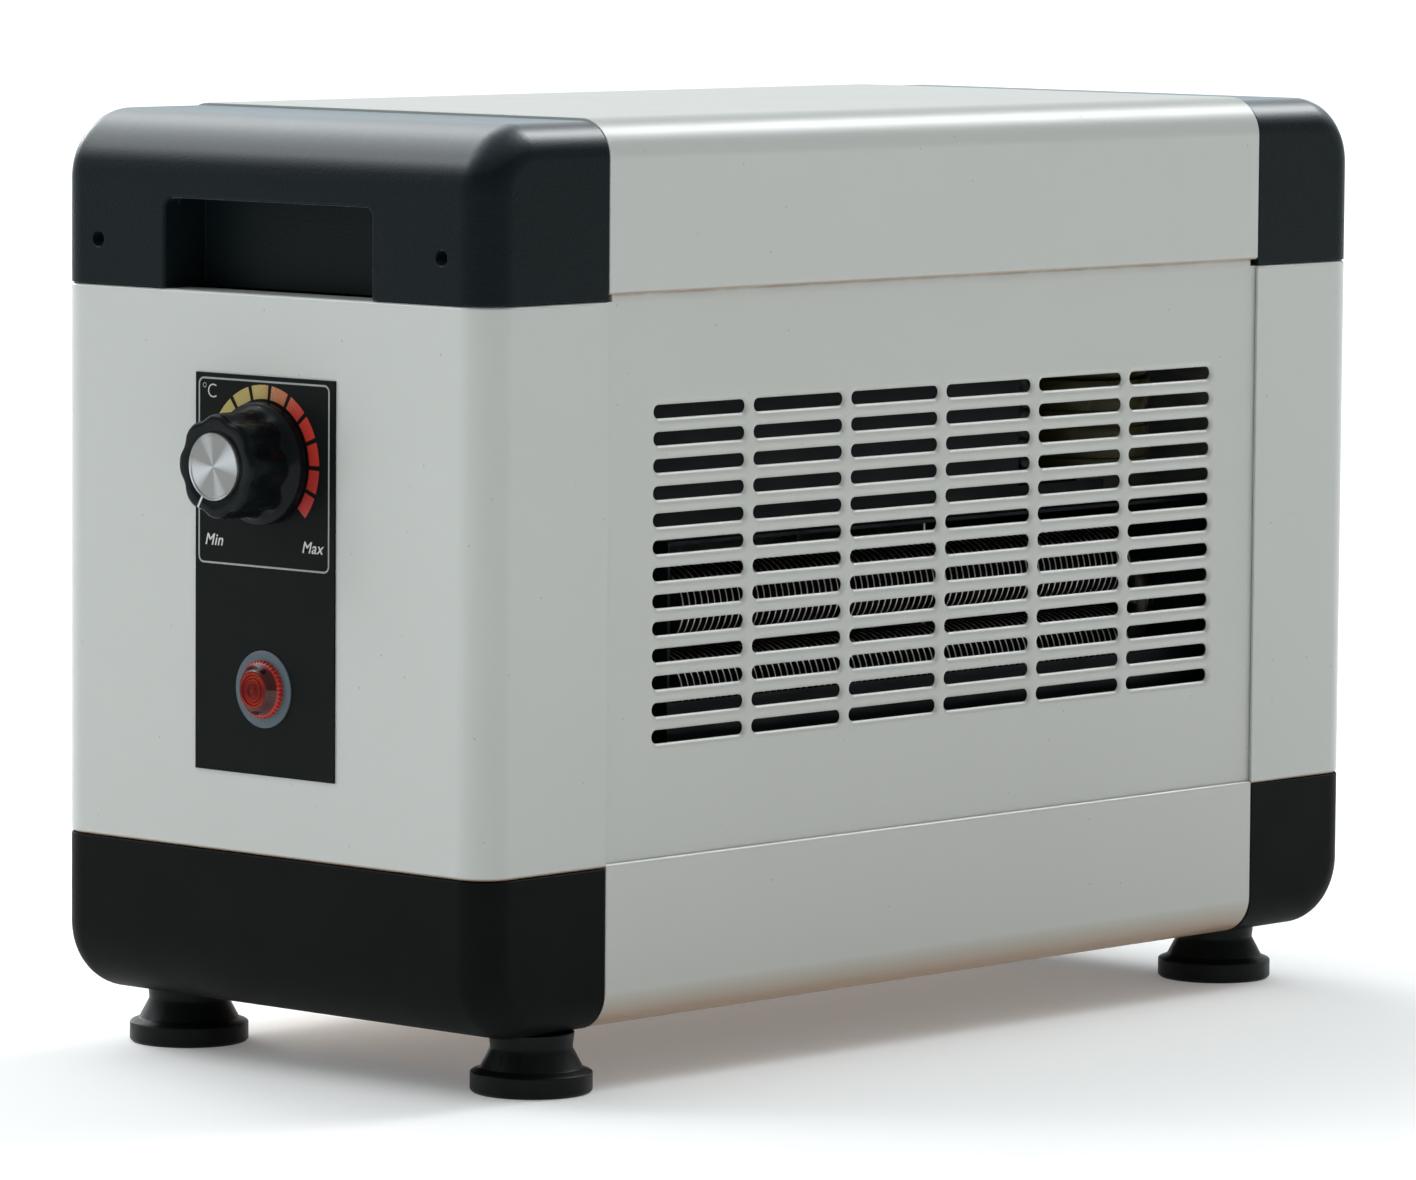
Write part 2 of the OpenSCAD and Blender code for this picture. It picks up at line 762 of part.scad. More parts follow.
module terminal_block() {
    color([0.88, 0.87, 0.82]) difference() {
        union() {
            block([way_x(0) - way_pitch / 2, block_y0, base_z1],
                  [way_x(ways - 0.5), block_y1, base_z1 + block_foot_t]);
            block([way_x(0) - way_pitch / 2, block_y0 + block_foot, base_z1 + block_foot_t],
                  [way_x(ways - 0.5), block_y1 - block_foot, base_z1 + block_h]);
        }
        for (k = [0 : ways - 1]) translate([way_x(k), 0, way_z]) {
            bar_y(way_r, block_y0 - over, block_y1 + over);
            translate([0, (block_y0 + block_y1) / 2, 0])
                cylinder(h = block_h - way_up + over, r = way_screw_r);
        }
    }
}

// Tube along points: corners are cut twice, then one ring of points stands at each
wire_sides = 8;
wire_cut = 8;
wire_side = [0.3, 0.5, 0.8];

function unit(v) = v / norm(v);

function step_to(p, q, far) = p + unit(q - p) * min(far, norm(q - p) / 3);

function cut_corners(p, far) = [p[0], for (k = [1 : len(p) - 2])
    each [step_to(p[k], p[k - 1], far), step_to(p[k], p[k + 1], far)], p[len(p) - 1]];

function direction(p, k) = unit(p[min(k + 1, len(p) - 1)] - p[max(k - 1, 0)]);

function carry(p, k, u) = k == len(p) ? [] :
    let (t = direction(p, k), v = unit(u - (u * t) * t)) concat([v], carry(p, k + 1, v));

module wire(corners) {
    p = cut_corners(cut_corners(corners, wire_cut), wire_cut / 3);
    u = carry(p, 0, cross(direction(p, 0), wire_side));
    n = wire_sides;
    ring_points = [for (k = [0 : len(p) - 1], i = [0 : n - 1])
        p[k] + wire_r * (cos(i * 360 / n) * u[k] + sin(i * 360 / n) * cross(direction(p, k), u[k]))];
    walls = [for (k = [0 : len(p) - 2], i = [0 : n - 1])
        [k * n + i, (k + 1) * n + i, (k + 1) * n + (i + 1) % n, k * n + (i + 1) % n]];
    ends = [[for (i = [0 : n - 1]) i], [for (i = [n - 1 : -1 : 0]) (len(p) - 1) * n + i]];
    polyhedron(ring_points, concat(walls, ends));
}

// Places where the wires end and bend
wire_gap = 0.6;
wire_turn = 4;
wire_reach = 6;
wire_rise = 30;
lane_r = 3.2;
low_y = block_y0 + block_foot - run_gap;
tab_end_y = thermostat_y1 + spade_l + wire_gap;
lamp_tab_y = face_y + lamp_body_l + spade_l + wire_gap;
pin_y = mouth_y0 - seal_out - pin_l - wire_gap;
front_y = -bulkhead_y - bulkhead_flange - over;
low_x = wire_holes[0][0];
high_x = wire_holes[1][0];
cutout_top = mouth_z1 + duct_t + cutout_h + spade_l + wire_gap;
rise_z = cutout_top + wire_rise;

// Places of the four wires in the lower wire holes
function lane(k, y) = [low_x + lane_r * cos(45 + 90 * k), y, low_hole_z + lane_r * sin(45 + 90 * k)];

module wiring() {
    color([0.25, 0.25, 0.3]) {
        // terminal block to thermostat
        wire([[way_x(1), low_y, way_z], lane(1, bulkhead_y + wire_reach), lane(1, front_y),
              [low_x, front_y, (lamp_z + knob_z) / 2],
              [-switch_spade, front_y, knob_z - switch_spade],
              [-switch_spade, tab_end_y, knob_z - switch_spade]]);
        // terminal block to pilot lamp
        wire([[way_x(2), low_y, way_z], lane(2, bulkhead_y + wire_reach), lane(2, front_y),
              [low_x / 2, front_y, lamp_z - lamp_body_l], [-lamp_spade, front_y, lamp_z],
              [-lamp_spade, lamp_tab_y, lamp_z]]);
        // pilot lamp to thermostat
        wire([[lamp_spade, lamp_tab_y, lamp_z], [lamp_spade, lamp_tab_y + wire_turn, lamp_z],
              [switch_spade, front_y, knob_z - thermostat_w / 2 - wire_turn],
              [switch_spade, tab_end_y + wire_turn, knob_z - switch_spade],
              [switch_spade, tab_end_y, knob_z - switch_spade]]);
        // thermostat to thermal cut-out
        wire([[switch_spade, tab_end_y, knob_z + switch_spade],
              [switch_spade, tab_end_y + wire_turn, knob_z + switch_spade],
              [high_x / 2, front_y, knob_z + thermostat_w / 2],
              [high_x - lane_r, front_y, high_hole_z],
              [high_x - lane_r, -bulkhead_y + bulkhead_flange + wire_turn, high_hole_z],
              [cutout_x + cutout_spade, cutout_y, rise_z],
              [cutout_x + cutout_spade, cutout_y, cutout_top]]);
        // thermal cut-out to the element's upper leg
        wire([[cutout_x - cutout_spade, cutout_y, cutout_top],
              [cutout_x - cutout_spade, cutout_y, rise_z - 3 * wire_turn],
              [high_x + 2 * wire_turn, mouth_y0 + 2 * wire_turn, plate_z1 + 2 * wire_turn],
              [element_x, pin_y - wire_turn, plate_z1 + wire_reach],
              [element_x, pin_y - wire_turn, leg_z[1]], [element_x, pin_y, leg_z[1]]]);
        // the element's lower leg to the terminal block
        wire([[element_x, pin_y, leg_z[0]], [element_x, pin_y - wire_turn, leg_z[0]],
              [element_x, pin_y - wire_turn, low_hole_z + 2 * wire_turn], lane(3, mouth_y0),
              lane(3, bulkhead_y + wire_reach), [way_x(3), low_y, way_z]]);
        // motor coil to the terminal block
        wire([[leg_x0 + leg_w + wire_turn, coil_y, stack_z1 - yoke + wire_gap],
              [leg_x0 + leg_w + wire_turn, coil_y, stack_z1 + wire_reach],
              [high_x, bulkhead_y - wire_reach, high_hole_z], [high_x, -front_y, high_hole_z],
              [way_x(4), block_y0 - wire_turn, high_hole_z - 2 * wire_turn],
              [way_x(4), block_y0 - wire_turn, way_z], [way_x(4), low_y, way_z]]);
    }
}

grommet_lip = 1.6;
grommet_half_t = 2;

module grommets() {
    groove = plate_steel_t + 2 * run_gap;
    color(black) for (end = [0, 1], p = wire_holes) mirror([0, end, 0])
        translate([p[0], -bulkhead_y + plate_steel_t / 2, p[1]]) rotate([90, 0, 0])
            rotate_extrude() polygon([[wire_hole_r - grommet_lip, -grommet_half_t],
                                      [wire_hole_r + grommet_lip, -grommet_half_t],
                                      [wire_hole_r + grommet_lip, -groove / 2],
                                      [wire_hole_r - run_gap, -groove / 2],
                                      [wire_hole_r - run_gap, groove / 2],
                                      [wire_hole_r + grommet_lip, groove / 2],
                                      [wire_hole_r + grommet_lip, grommet_half_t],
                                      [wire_hole_r - grommet_lip, grommet_half_t]]);
}

// Cable gland in the rear panel, with its hexagon, dome nut and lock nut
gland_hex_r = 12.7;
gland_out = knob_out;
gland_flange_t = 5;
gland_nut_t = 5;
gland_thread_in = 9;
gland_neck_r = 10.4;
gland_neck_t = 0.6;
gland_dome_l = gland_out - gland_flange_t - gland_neck_t;
// Outline of the dome nut: radius and distance from its back
gland_dome = [[11.4, 0], [11.4, 9], [10.2, 14], [7.5, gland_dome_l]];

module cable_gland() {
    color(black) translate([gland_x, 0, gland_z]) difference() {
        union() {
            bar_y(gland_r, half_l - gland_thread_in, half_l + gland_flange_t + gland_neck_t);
            translate([0, half_l + gland_flange_t, 0]) rotate([90, 0, 0])
                cylinder(h = gland_flange_t, r = gland_hex_r, $fn = 6);
            translate([0, half_l + gland_flange_t + gland_neck_t, 0]) rotate([-90, 0, 0])
                rotate_extrude() polygon([[0, 0], for (p = gland_dome) p, [0, gland_dome_l]]);
            bar_y(gland_neck_r, half_l + gland_flange_t - over, half_l + gland_flange_t + 2 * over);
        }
        bar_y(gland_bore_r, half_l - gland_thread_in - over, half_l + gland_out + over);
    }
}

module gland_nut() {
    color(black) translate([gland_x, half_l - sheet_t, gland_z]) difference() {
        rotate([90, 0, 0]) cylinder(h = gland_nut_t, r = gland_hex_r, $fn = 6);
        bar_y(gland_r + run_gap, -gland_nut_t - over, over);
    }
}

// Blower: face plate, duct, scroll and end plates

tongue_gap = 2.5;
tongue_x = imp_x + sqrt(pow(imp_r + tongue_gap, 2) - pow(mouth_drop, 2));
collar_x = face_x + duct_t + collar_out;
upper_face_y1 = 62;
strip_y1 = 104;
strip_h = 7.5;
face_z1 = z_top_seam - 12;
face_drop = 14;
face_z0 = mouth_z0 - face_drop;
face_flange = 12;
mouth_lip = 13;
side_end = bulkhead_y - plate_steel_t - clear;

module air_duct() {
    color([0.45, 0.46, 0.47]) {
        difference() {
            union() {
                block([face_x, -side_end, face_z0], [face_x + duct_t, side_end, mouth_z1 + duct_t]);
                block([face_x, -side_end, mouth_z1], [face_x + duct_t, upper_face_y1, face_z1]);
                block([face_x, 0, mouth_z1], [face_x + duct_t, strip_y1, mouth_z1 + strip_h]);
                for (end = [-1, 1])
                    block([face_x - face_flange, end * side_end - (end > 0 ? duct_t : 0), face_z0],
                          [face_x + duct_t, end * side_end + (end > 0 ? 0 : duct_t), mouth_z1]);
            }
            block([face_x - over, mouth_y0, mouth_z0],
                  [face_x + duct_t + over, mouth_y1, mouth_z1]);
        }
        block([tongue_x, mouth_y0, mouth_z1], [collar_x, mouth_y1, mouth_z1 + duct_t]);
        block([tongue_x, mouth_y1, mouth_z0 - duct_t], [collar_x, mouth_y1 + duct_t, mouth_z1 + duct_t]);
        block([face_x, mouth_y0 - duct_t, mouth_z0 - duct_t], [collar_x, mouth_y0, mouth_z1 + duct_t]);
        block([face_x, mouth_y0, mouth_z0 - duct_t], [collar_x, mouth_y1, mouth_z0]);
        block([collar_x - duct_t, mouth_y0, mouth_z0], [collar_x, mouth_y1, mouth_z0 + mouth_lip]);
        block([tongue_x, blower_y1 + plate_steel_t + clear, mouth_z0],
              [tongue_x + duct_t, mouth_y1, mouth_z1]);
    }
}

scroll_shift = 14;
scroll_x = imp_x + scroll_shift;
scroll_z = mouth_z0 + scroll_r;
lip_drop = 9;

module scroll_outline() {
    // lip beside the impeller
    translate([scroll_x - scroll_r - duct_t, scroll_z]) square([duct_t, imp_z - lip_drop - scroll_z]);
    // quarter curve under the impeller
    intersection() {
        difference() {
            translate([scroll_x, scroll_z]) circle(scroll_r + duct_t);
            translate([scroll_x, scroll_z]) circle(scroll_r);
        }
        translate([scroll_x - scroll_r - over - duct_t, mouth_z0 - over - duct_t])
            square([scroll_r + over + duct_t, scroll_r + over + duct_t]);
    }
    // floor of the duct
    translate([scroll_x, mouth_z0 - duct_t]) square([face_x - clear - scroll_x, duct_t]);
}

module blower_scroll() {
    color([0.6, 0.61, 0.62]) {
        translate([0, blower_y1 - clear, 0]) rotate([90, 0, 0])
            linear_extrude(blower_y1 - mouth_y0 - 2 * clear) scroll_outline();
        block([tongue_x, blower_y1 - over, mouth_z0 - duct_t],
              [face_x - clear, mouth_y1 - clear, mouth_z0]);
    }
}

plate_edge = 4;
plate_x0 = scroll_x - scroll_r - plate_edge;
element_z = mouth_z0 + element_up;
leg_z = [element_z - element_span / 2, element_z + element_span / 2];
bearing_r = 8;

module blower_front_plate() {
    color([0.6, 0.61, 0.62]) difference() {
        block([plate_x0, mouth_y0 - plate_steel_t, mouth_z0 - 3 * plate_edge],
              [face_x - clear, mouth_y0, plate_z1]);
        translate([imp_x, 0, imp_z])
            bar_y(bearing_r + run_gap, mouth_y0 - 2 * plate_steel_t, mouth_y0 + over);
        for (z = leg_z) translate([element_x, 0, z])
            bar_y(seal_r + run_gap, mouth_y0 - 2 * plate_steel_t, mouth_y0 + over);
    }
}

module blower_rear_plate() {
    color([0.6, 0.61, 0.62]) difference() {
        block([plate_x0, blower_y1, mouth_z0 - duct_t - plate_edge],
              [tongue_x - clear, blower_y1 + plate_steel_t, plate_z1]);
        translate([imp_x, 0, imp_z])
            bar_y(2 * shaft_r, blower_y1 - over, blower_y1 + 2 * plate_steel_t);
        for (up = [-1, 1]) translate([imp_x, 0, imp_z + up * motor_screw_span / 2])
            bar_y(motor_screw_r + run_gap, blower_y1 - over, blower_y1 + 2 * plate_steel_t);
    }
}

bearing_l = 7;
bearing_rim = 3;
bearing_rim_t = 2;

module front_bearing() {
    color([0.2, 0.2, 0.2]) translate([imp_x, 0, imp_z]) difference() {
        union() {
            bar_y(bearing_r, mouth_y0 - bearing_l, mouth_y0 + over);
            bar_y(bearing_r + bearing_rim, mouth_y0 - plate_steel_t - bearing_rim_t,
                  mouth_y0 - plate_steel_t);
        }
        bar_y(shaft_r + run_gap, mouth_y0 - bearing_l - over, mouth_y0 + 2 * over);
    }
}

// Motor

motor_screw_r = 2;
motor_screw_span = stack_h - 4 * motor_screw_r;
pole_w = 9;
window_w = 27;
stack_back = 6;
leg_w = 15;
yoke = leg_w / 2;
stack_x0 = imp_x - rotor_r - air_gap - stack_back;
window_x0 = imp_x + rotor_r + air_gap + pole_w;
leg_x0 = window_x0 + window_w;
motor_y1 = motor_y0 + stack_t;
stack_z0 = imp_z - stack_h / 2;
stack_z1 = imp_z + stack_h / 2;

module motor_stator() {
    color([0.35, 0.34, 0.33]) difference() {
        block([stack_x0, motor_y0, stack_z0], [leg_x0 + leg_w, motor_y1, stack_z1]);
        translate([imp_x, 0, imp_z]) bar_y(rotor_r + air_gap, motor_y0 - over, motor_y1 + over);
        block([window_x0, motor_y0 - over, stack_z0 + yoke],
              [leg_x0, motor_y1 + over, stack_z1 - yoke]);
        for (up = [-1, 1]) translate([imp_x, 0, imp_z + up * motor_screw_span / 2])
            bar_y(motor_screw_r + run_gap, motor_y0 - over, motor_y1 + over);
    }
}

coil_x = leg_x0 + leg_w / 2;
coil_y = (motor_y0 + motor_y1) / 2;

module motor_coil() {
    z0 = stack_z0 + yoke + clear;
    z1 = stack_z1 - yoke - clear;
    color([0.62, 0.56, 0.16]) difference() {
        translate([coil_x, coil_y, z0]) cylinder(h = z1 - z0, r = coil_r);
        block([leg_x0 - clear, motor_y0 - clear, z0 - over],
              [leg_x0 + leg_w + clear, motor_y1 + clear, z1 + over]);
    }
}

bracket_t = 6;
bracket_half_w = 6;
bracket_boss_r = 7;
bracket_ear_r = 4;
bracket_in = 0.5;

module motor_bracket(y0) {
    difference() {
        union() {
            block([imp_x - bracket_half_w, y0, stack_z0 + bracket_in],
                  [imp_x + bracket_half_w, y0 + bracket_t / 2, stack_z1 - bracket_in]);
            translate([imp_x, 0, imp_z]) bar_y(bracket_boss_r, y0, y0 + bracket_t);
            for (up = [-1, 1]) translate([imp_x, 0, imp_z + up * motor_screw_span / 2])
                bar_y(bracket_ear_r, y0, y0 + bracket_t);
        }
        translate([imp_x, 0, imp_z]) bar_y(shaft_r + run_gap, y0 - over, y0 + bracket_t + over);
        for (up = [-1, 1]) translate([imp_x, 0, imp_z + up * motor_screw_span / 2])
            bar_y(motor_screw_r + run_gap, y0 - over, y0 + bracket_t + over);
    }
}

module motor_brackets() {
    color([0.7, 0.7, 0.71]) {
        motor_bracket(motor_y0 - bracket_t);
        mirror([0, 1, 0]) motor_bracket(-motor_y1 - bracket_t);
    }
}

motor_screw_head_r = 3.6;
motor_screw_head_t = 2.8;
motor_screw_end = 3;

// Two long screws, each with its distance sleeve
module motor_screws() {
    color(steel) for (up = [-1, 1]) translate([imp_x, 0, imp_z + up * motor_screw_span / 2]) {
        bar_y(motor_screw_r, blower_y1 - motor_screw_end, motor_y1 + bracket_t + over);
        bar_y(motor_screw_head_r, motor_y1 + bracket_t, motor_y1 + bracket_t + motor_screw_head_t);
        bar_y(bracket_ear_r, blower_y1 + plate_steel_t, motor_y0 - bracket_t);
    }
}

// Turning parts of the blower

blade_r = 6.5;
blade_t = 0.8;
blade_in = 4;
blade_drop = 6.4;
blade_low = 5.5;
blade_edge = 0.4;
blade_depth = 6.1;
blade_box = 16;
rim_t = 1;
rim_w = 8;
hub_r = 7;
hub_l = 9;

module blade_outline() {
    intersection() {
        translate([imp_r - blade_in, -blade_drop]) difference() {
            circle(blade_r + blade_t / 2, $fn = 32);
            circle(blade_r - blade_t / 2, $fn = 32);
        }
        difference() {
            circle(imp_r - blade_edge);
            circle(imp_r - blade_edge - blade_depth);
        }
        translate([imp_r + blade_in / 2 - blade_box, -blade_low]) square(blade_box);
    }
}

module impeller() {
    color([0.75, 0.76, 0.77]) translate([imp_x, imp_y0 + imp_l, imp_z]) rotate([90, 0, 0]) {
        difference() {
            union() {
                for (z = [0, imp_l - rim_t]) translate([0, 0, z]) cylinder(h = rim_t, r = imp_r);
                translate([0, 0, (imp_l - rim_t) / 2]) difference() {
                    cylinder(h = rim_t, r = imp_r);
                    translate([0, 0, -over]) cylinder(h = rim_t + 2 * over, r = imp_r - rim_w);
                }
                for (z = [0, imp_l - hub_l]) translate([0, 0, z]) cylinder(h = hub_l, r = hub_r);
            }
            translate([0, 0, -over]) cylinder(h = imp_l + 2 * over, r = shaft_r + run_gap);
        }
        linear_extrude(imp_l) for (k = [0 : imp_blades - 1])
            rotate(k * 360 / imp_blades) blade_outline();
    }
}

shaft_end = 4;

module shaft() {
    color(steel) translate([imp_x, 0, imp_z])
        bar_y(shaft_r, mouth_y0 - bearing_l, motor_y1 + bracket_t + shaft_end);
}

module motor_rotor() {
    color([0.55, 0.55, 0.56]) translate([imp_x, 0, imp_z]) difference() {
        bar_y(rotor_r, motor_y0, motor_y1);
        bar_y(shaft_r + run_gap, motor_y0 - over, motor_y1 + over);
    }
}

// Heating element: a hairpin tube with fins

element_y0 = mouth_y0 - seal_out;
bend_gap = 0.9;
element_y1 = mouth_y1 - element_span / 2 - sheath_r - bend_gap;
fin_y0 = mouth_y0 + fin_start;
fin_count = floor((element_y1 - bend_in - fin_y0) / fin_pitch);
pin_r = 1.6;
seal_r = 6;
seal_l = 5;
seal_rim = 0.7;
seal_rim_t = 2;

module heating_element() {
    color([0.55, 0.53, 0.50]) translate([element_x, 0, 0]) {
        for (z = leg_z) translate([0, 0, z]) {
            bar_y(sheath_r, element_y0, element_y1);
            bar_y(pin_r, element_y0 - pin_l, element_y0 + over);
            for (k = [0 : fin_count]) translate([0, fin_y0 + k * fin_pitch, 0])
                bar_y(fin_r, 0, fin_t);
        }
        translate([0, element_y1, element_z]) rotate([0, 90, 0])
            rotate_extrude(angle = 180) translate([element_span / 2, 0]) circle(sheath_r);
    }
}

module element_seals() {
    color([0.9, 0.89, 0.85]) translate([element_x, 0, 0]) for (z = leg_z) translate([0, 0, z])
        difference() {
            union() {
                bar_y(seal_r, mouth_y0 - seal_l, mouth_y0 + over);
                bar_y(seal_r + seal_rim, mouth_y0 - plate_steel_t - seal_rim_t,
                      mouth_y0 - plate_steel_t);
            }
            bar_y(sheath_r + run_gap, mouth_y0 - seal_l - over, mouth_y0 + 2 * over);
        }
}

cutout_r = 7.5;
cutout_rim = 1.5;
cutout_rim_t = 2;

module thermal_cutout() {
    color([0.15, 0.12, 0.1]) translate([cutout_x, cutout_y, mouth_z1 + duct_t]) {
        cylinder(h = cutout_rim_t, r = cutout_r + cutout_rim);
        cylinder(h = cutout_h, r = cutout_r);
        for (side = [-1, 1])
            block([side * cutout_spade - spade_t, -spade_w, cutout_h - over],
                  [side * cutout_spade + spade_t, spade_w, cutout_h + spade_l]);
    }
}

// Feet

nut_h = 6.5;
nut_r = 7.2;

module foot_nuts() {
    color(steel) for (p = foot_places) translate([p[0], p[1], base_z1]) difference() {
        cylinder(h = nut_h, r = nut_r, $fn = 6);
        translate([0, 0, -over]) cylinder(h = nut_h + 2 * over, r = stud_r + run_gap);
    }
}

foot_gap = 0.1;
foot_socket = 4;
// Outline of a foot from the floor up: how far inside its flange, and its height
foot_line = [[0.8, 0], [0, 0.8], [0, 6], [0.5, 6.4], [2.8, 7.3], [5.8, foot_h - 5],
             [5.9, foot_h - 4.4], [5.4, foot_h - foot_gap]];

module foot(p) {
    color(black) translate([p[0], p[1], 0]) difference() {
        rotate_extrude() polygon([[0, 0], for (q = foot_line) [foot_r - q[0], q[1]],
                                  [0, foot_h - foot_gap]]);
        translate([0, 0, foot_socket]) cylinder(h = foot_h, r = stud_r + run_gap);
    }
}

module stud(p) {
    color(steel) translate([p[0], p[1], foot_socket])
        cylinder(h = foot_h - foot_socket + stud_l, r = stud_r);
}

module foot_front_left() { foot(foot_places[0]); }
module foot_front_right() { foot(foot_places[1]); }
module foot_rear_left() { foot(foot_places[2]); }
module foot_rear_right() { foot(foot_places[3]); }
module stud_front_left() { stud(foot_places[0]); }
module stud_front_right() { stud(foot_places[1]); }
module stud_rear_left() { stud(foot_places[2]); }
module stud_rear_right() { stud(foot_places[3]); }

// Knob

flutes = 8;
flute_r = 5.2;
flute_out = 4;
flute_z = 5;
knob_lift = 0.5;
knob_skirt_t = 1.6;
knob_cone_t = 2.2;
knob_wall = 3;
disc_t = 2.1;
disc_proud = 1;
knob_back = plate_y - knob_lift;
knob_front = face_y - knob_out;
knob_l = knob_back - knob_front;

module knob() {
    color(black) translate([0, knob_back, knob_z]) rotate([90, 0, 0]) difference() {
        union() {
            cylinder(h = knob_skirt_t, r = knob_skirt_r);
            translate([0, 0, knob_skirt_t])
                cylinder(h = knob_cone_t, r1 = knob_skirt_r, r2 = knob_grip_r + clear);
            difference() {
                cylinder(h = knob_l - disc_proud, r = knob_grip_r);
                for (k = [0 : flutes - 1]) rotate((k + 0.5) * 360 / flutes)
                    translate([knob_grip_r + flute_out, 0, flute_z]) cylinder(h = knob_l, r = flute_r);
            }
        }
        translate([0, 0, -over])
            cylinder(h = bush_out - knob_lift + 2 * over, r = knob_grip_r - knob_wall);
        translate([0, 0, -over]) cylinder(h = spindle_out + 2 * over, r = spindle_r + run_gap);
        translate([0, 0, knob_l - disc_t - 2 * run_gap])
            cylinder(h = disc_t + 2 * over, r = knob_disc_r + run_gap);
    }
}

module knob_disc() {
    color([0.8, 0.8, 0.8]) translate([0, knob_front, knob_z]) rotate([-90, 0, 0])
        cylinder(h = disc_t, r = knob_disc_r);
}

module spindle() {
    color(steel) translate([0, 0, knob_z]) bar_y(spindle_r, knob_back - spindle_out, face_y + spindle_in);
}

top_cover();
bottom_cover();
outlet_grille();
intake_grille();
front_end_panel();
rear_end_panel();
front_top_cap();
rear_top_cap();
front_bottom_cap();
rear_bottom_cap();
front_bulkhead();
rear_bulkhead();
base_plate();
base_spacers();
base_screws();
cap_screws();
control_plate();
pilot_ring();
pilot_lens();
pilot_body();
thermostat();
thermostat_nut();
capillary();
bulb_clip();
terminal_block();
wiring();
grommets();
cable_gland();
gland_nut();
air_duct();
blower_scroll();
blower_front_plate();
blower_rear_plate();
front_bearing();
motor_stator();
motor_coil();
motor_brackets();
motor_screws();
heating_element();
element_seals();
thermal_cutout();
foot_nuts();
knob();
knob_disc();
spindle();
impeller();
shaft();
motor_rotor();
foot_front_left();
foot_front_right();
foot_rear_left();
foot_rear_right();
stud_front_left();
stud_front_right();
stud_rear_left();
stud_rear_right();
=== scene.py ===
import math

import bmesh
import bpy
from mathutils import Matrix, Vector


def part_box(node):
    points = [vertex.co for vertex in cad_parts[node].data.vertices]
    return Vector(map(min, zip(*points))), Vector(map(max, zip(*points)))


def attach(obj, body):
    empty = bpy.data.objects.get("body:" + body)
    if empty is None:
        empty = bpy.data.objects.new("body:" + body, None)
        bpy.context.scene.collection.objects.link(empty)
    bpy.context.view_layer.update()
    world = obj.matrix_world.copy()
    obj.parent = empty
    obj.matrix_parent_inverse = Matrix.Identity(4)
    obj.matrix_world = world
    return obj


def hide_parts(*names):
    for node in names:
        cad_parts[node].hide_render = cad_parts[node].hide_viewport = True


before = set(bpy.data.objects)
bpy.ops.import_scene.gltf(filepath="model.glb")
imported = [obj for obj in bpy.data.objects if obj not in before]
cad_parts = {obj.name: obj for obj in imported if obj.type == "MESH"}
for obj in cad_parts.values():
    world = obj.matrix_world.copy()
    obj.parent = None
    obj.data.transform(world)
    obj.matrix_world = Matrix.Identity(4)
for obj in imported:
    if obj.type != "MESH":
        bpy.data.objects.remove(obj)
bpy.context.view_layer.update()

scene = bpy.context.scene
MM = 0.001

# Camera
# A long lens stands three quarters from the control end, just above the middle of the box,
# and frames it as the photograph does.
PICTURE_WIDTH = 1416
FOCAL_PIXELS = 8213.55
TURN, RISE, ROLL = math.radians(42.18), math.radians(5.34), math.radians(-0.42)
AIM = Vector((0, 0, 148 * MM))
AIM_LEFT, AIM_UP, STAND_OFF = 6.23 * MM, 15.62 * MM, 2567.38 * MM

across = Vector((math.cos(TURN), math.sin(TURN), 0))
back = Vector((math.cos(RISE) * math.sin(TURN), -math.cos(RISE) * math.cos(TURN), math.sin(RISE)))
upward = back.cross(across)
rolled_across = math.cos(ROLL) * across - math.sin(ROLL) * upward
rolled_up = math.sin(ROLL) * across + math.cos(ROLL) * upward
camera_place = AIM - AIM_LEFT * rolled_across - AIM_UP * rolled_up + STAND_OFF * back
camera = bpy.data.objects.new("camera", bpy.data.cameras.new("camera"))
camera.data.sensor_fit = "HORIZONTAL"
camera.data.sensor_width = 36
camera.data.lens = 36 * FOCAL_PIXELS / PICTURE_WIDTH
camera.data.clip_start, camera.data.clip_end = 0.05, 200
camera.matrix_world = Matrix.Translation(camera_place) @ Matrix(
    (rolled_across, rolled_up, back)).transposed().to_4x4()
scene.collection.objects.link(camera)
scene.camera = camera

# Finishes
# Every surface is a procedural material. A strand is an output of one of its nodes, and plain
# sums on strands add the Math nodes; the sizes of patterns are in millimetres.


class Strand:
    def __init__(self, finish, socket):
        self.finish, self.socket = finish, socket

    def maths(self, operation, a, b=0.0):
        return self.finish.node("Math", {"operation": operation}, {0: a, 1: b})

    def __add__(self, other):
        return self.maths("ADD", self, other)

    def __sub__(self, other):
        return self.maths("SUBTRACT", self, other)

    def __rsub__(self, other):
        return self.maths("SUBTRACT", other, self)

    def __mul__(self, other):
        return self.maths("MULTIPLY", self, other)

    def __truediv__(self, other):
        return self.maths("DIVIDE", self, other)

    def __pow__(self, power):
        return self.maths("POWER", self, power)

    def __abs__(self):
        return self.maths("ABSOLUTE", self)

    __radd__ = __add__
    __rmul__ = __mul__


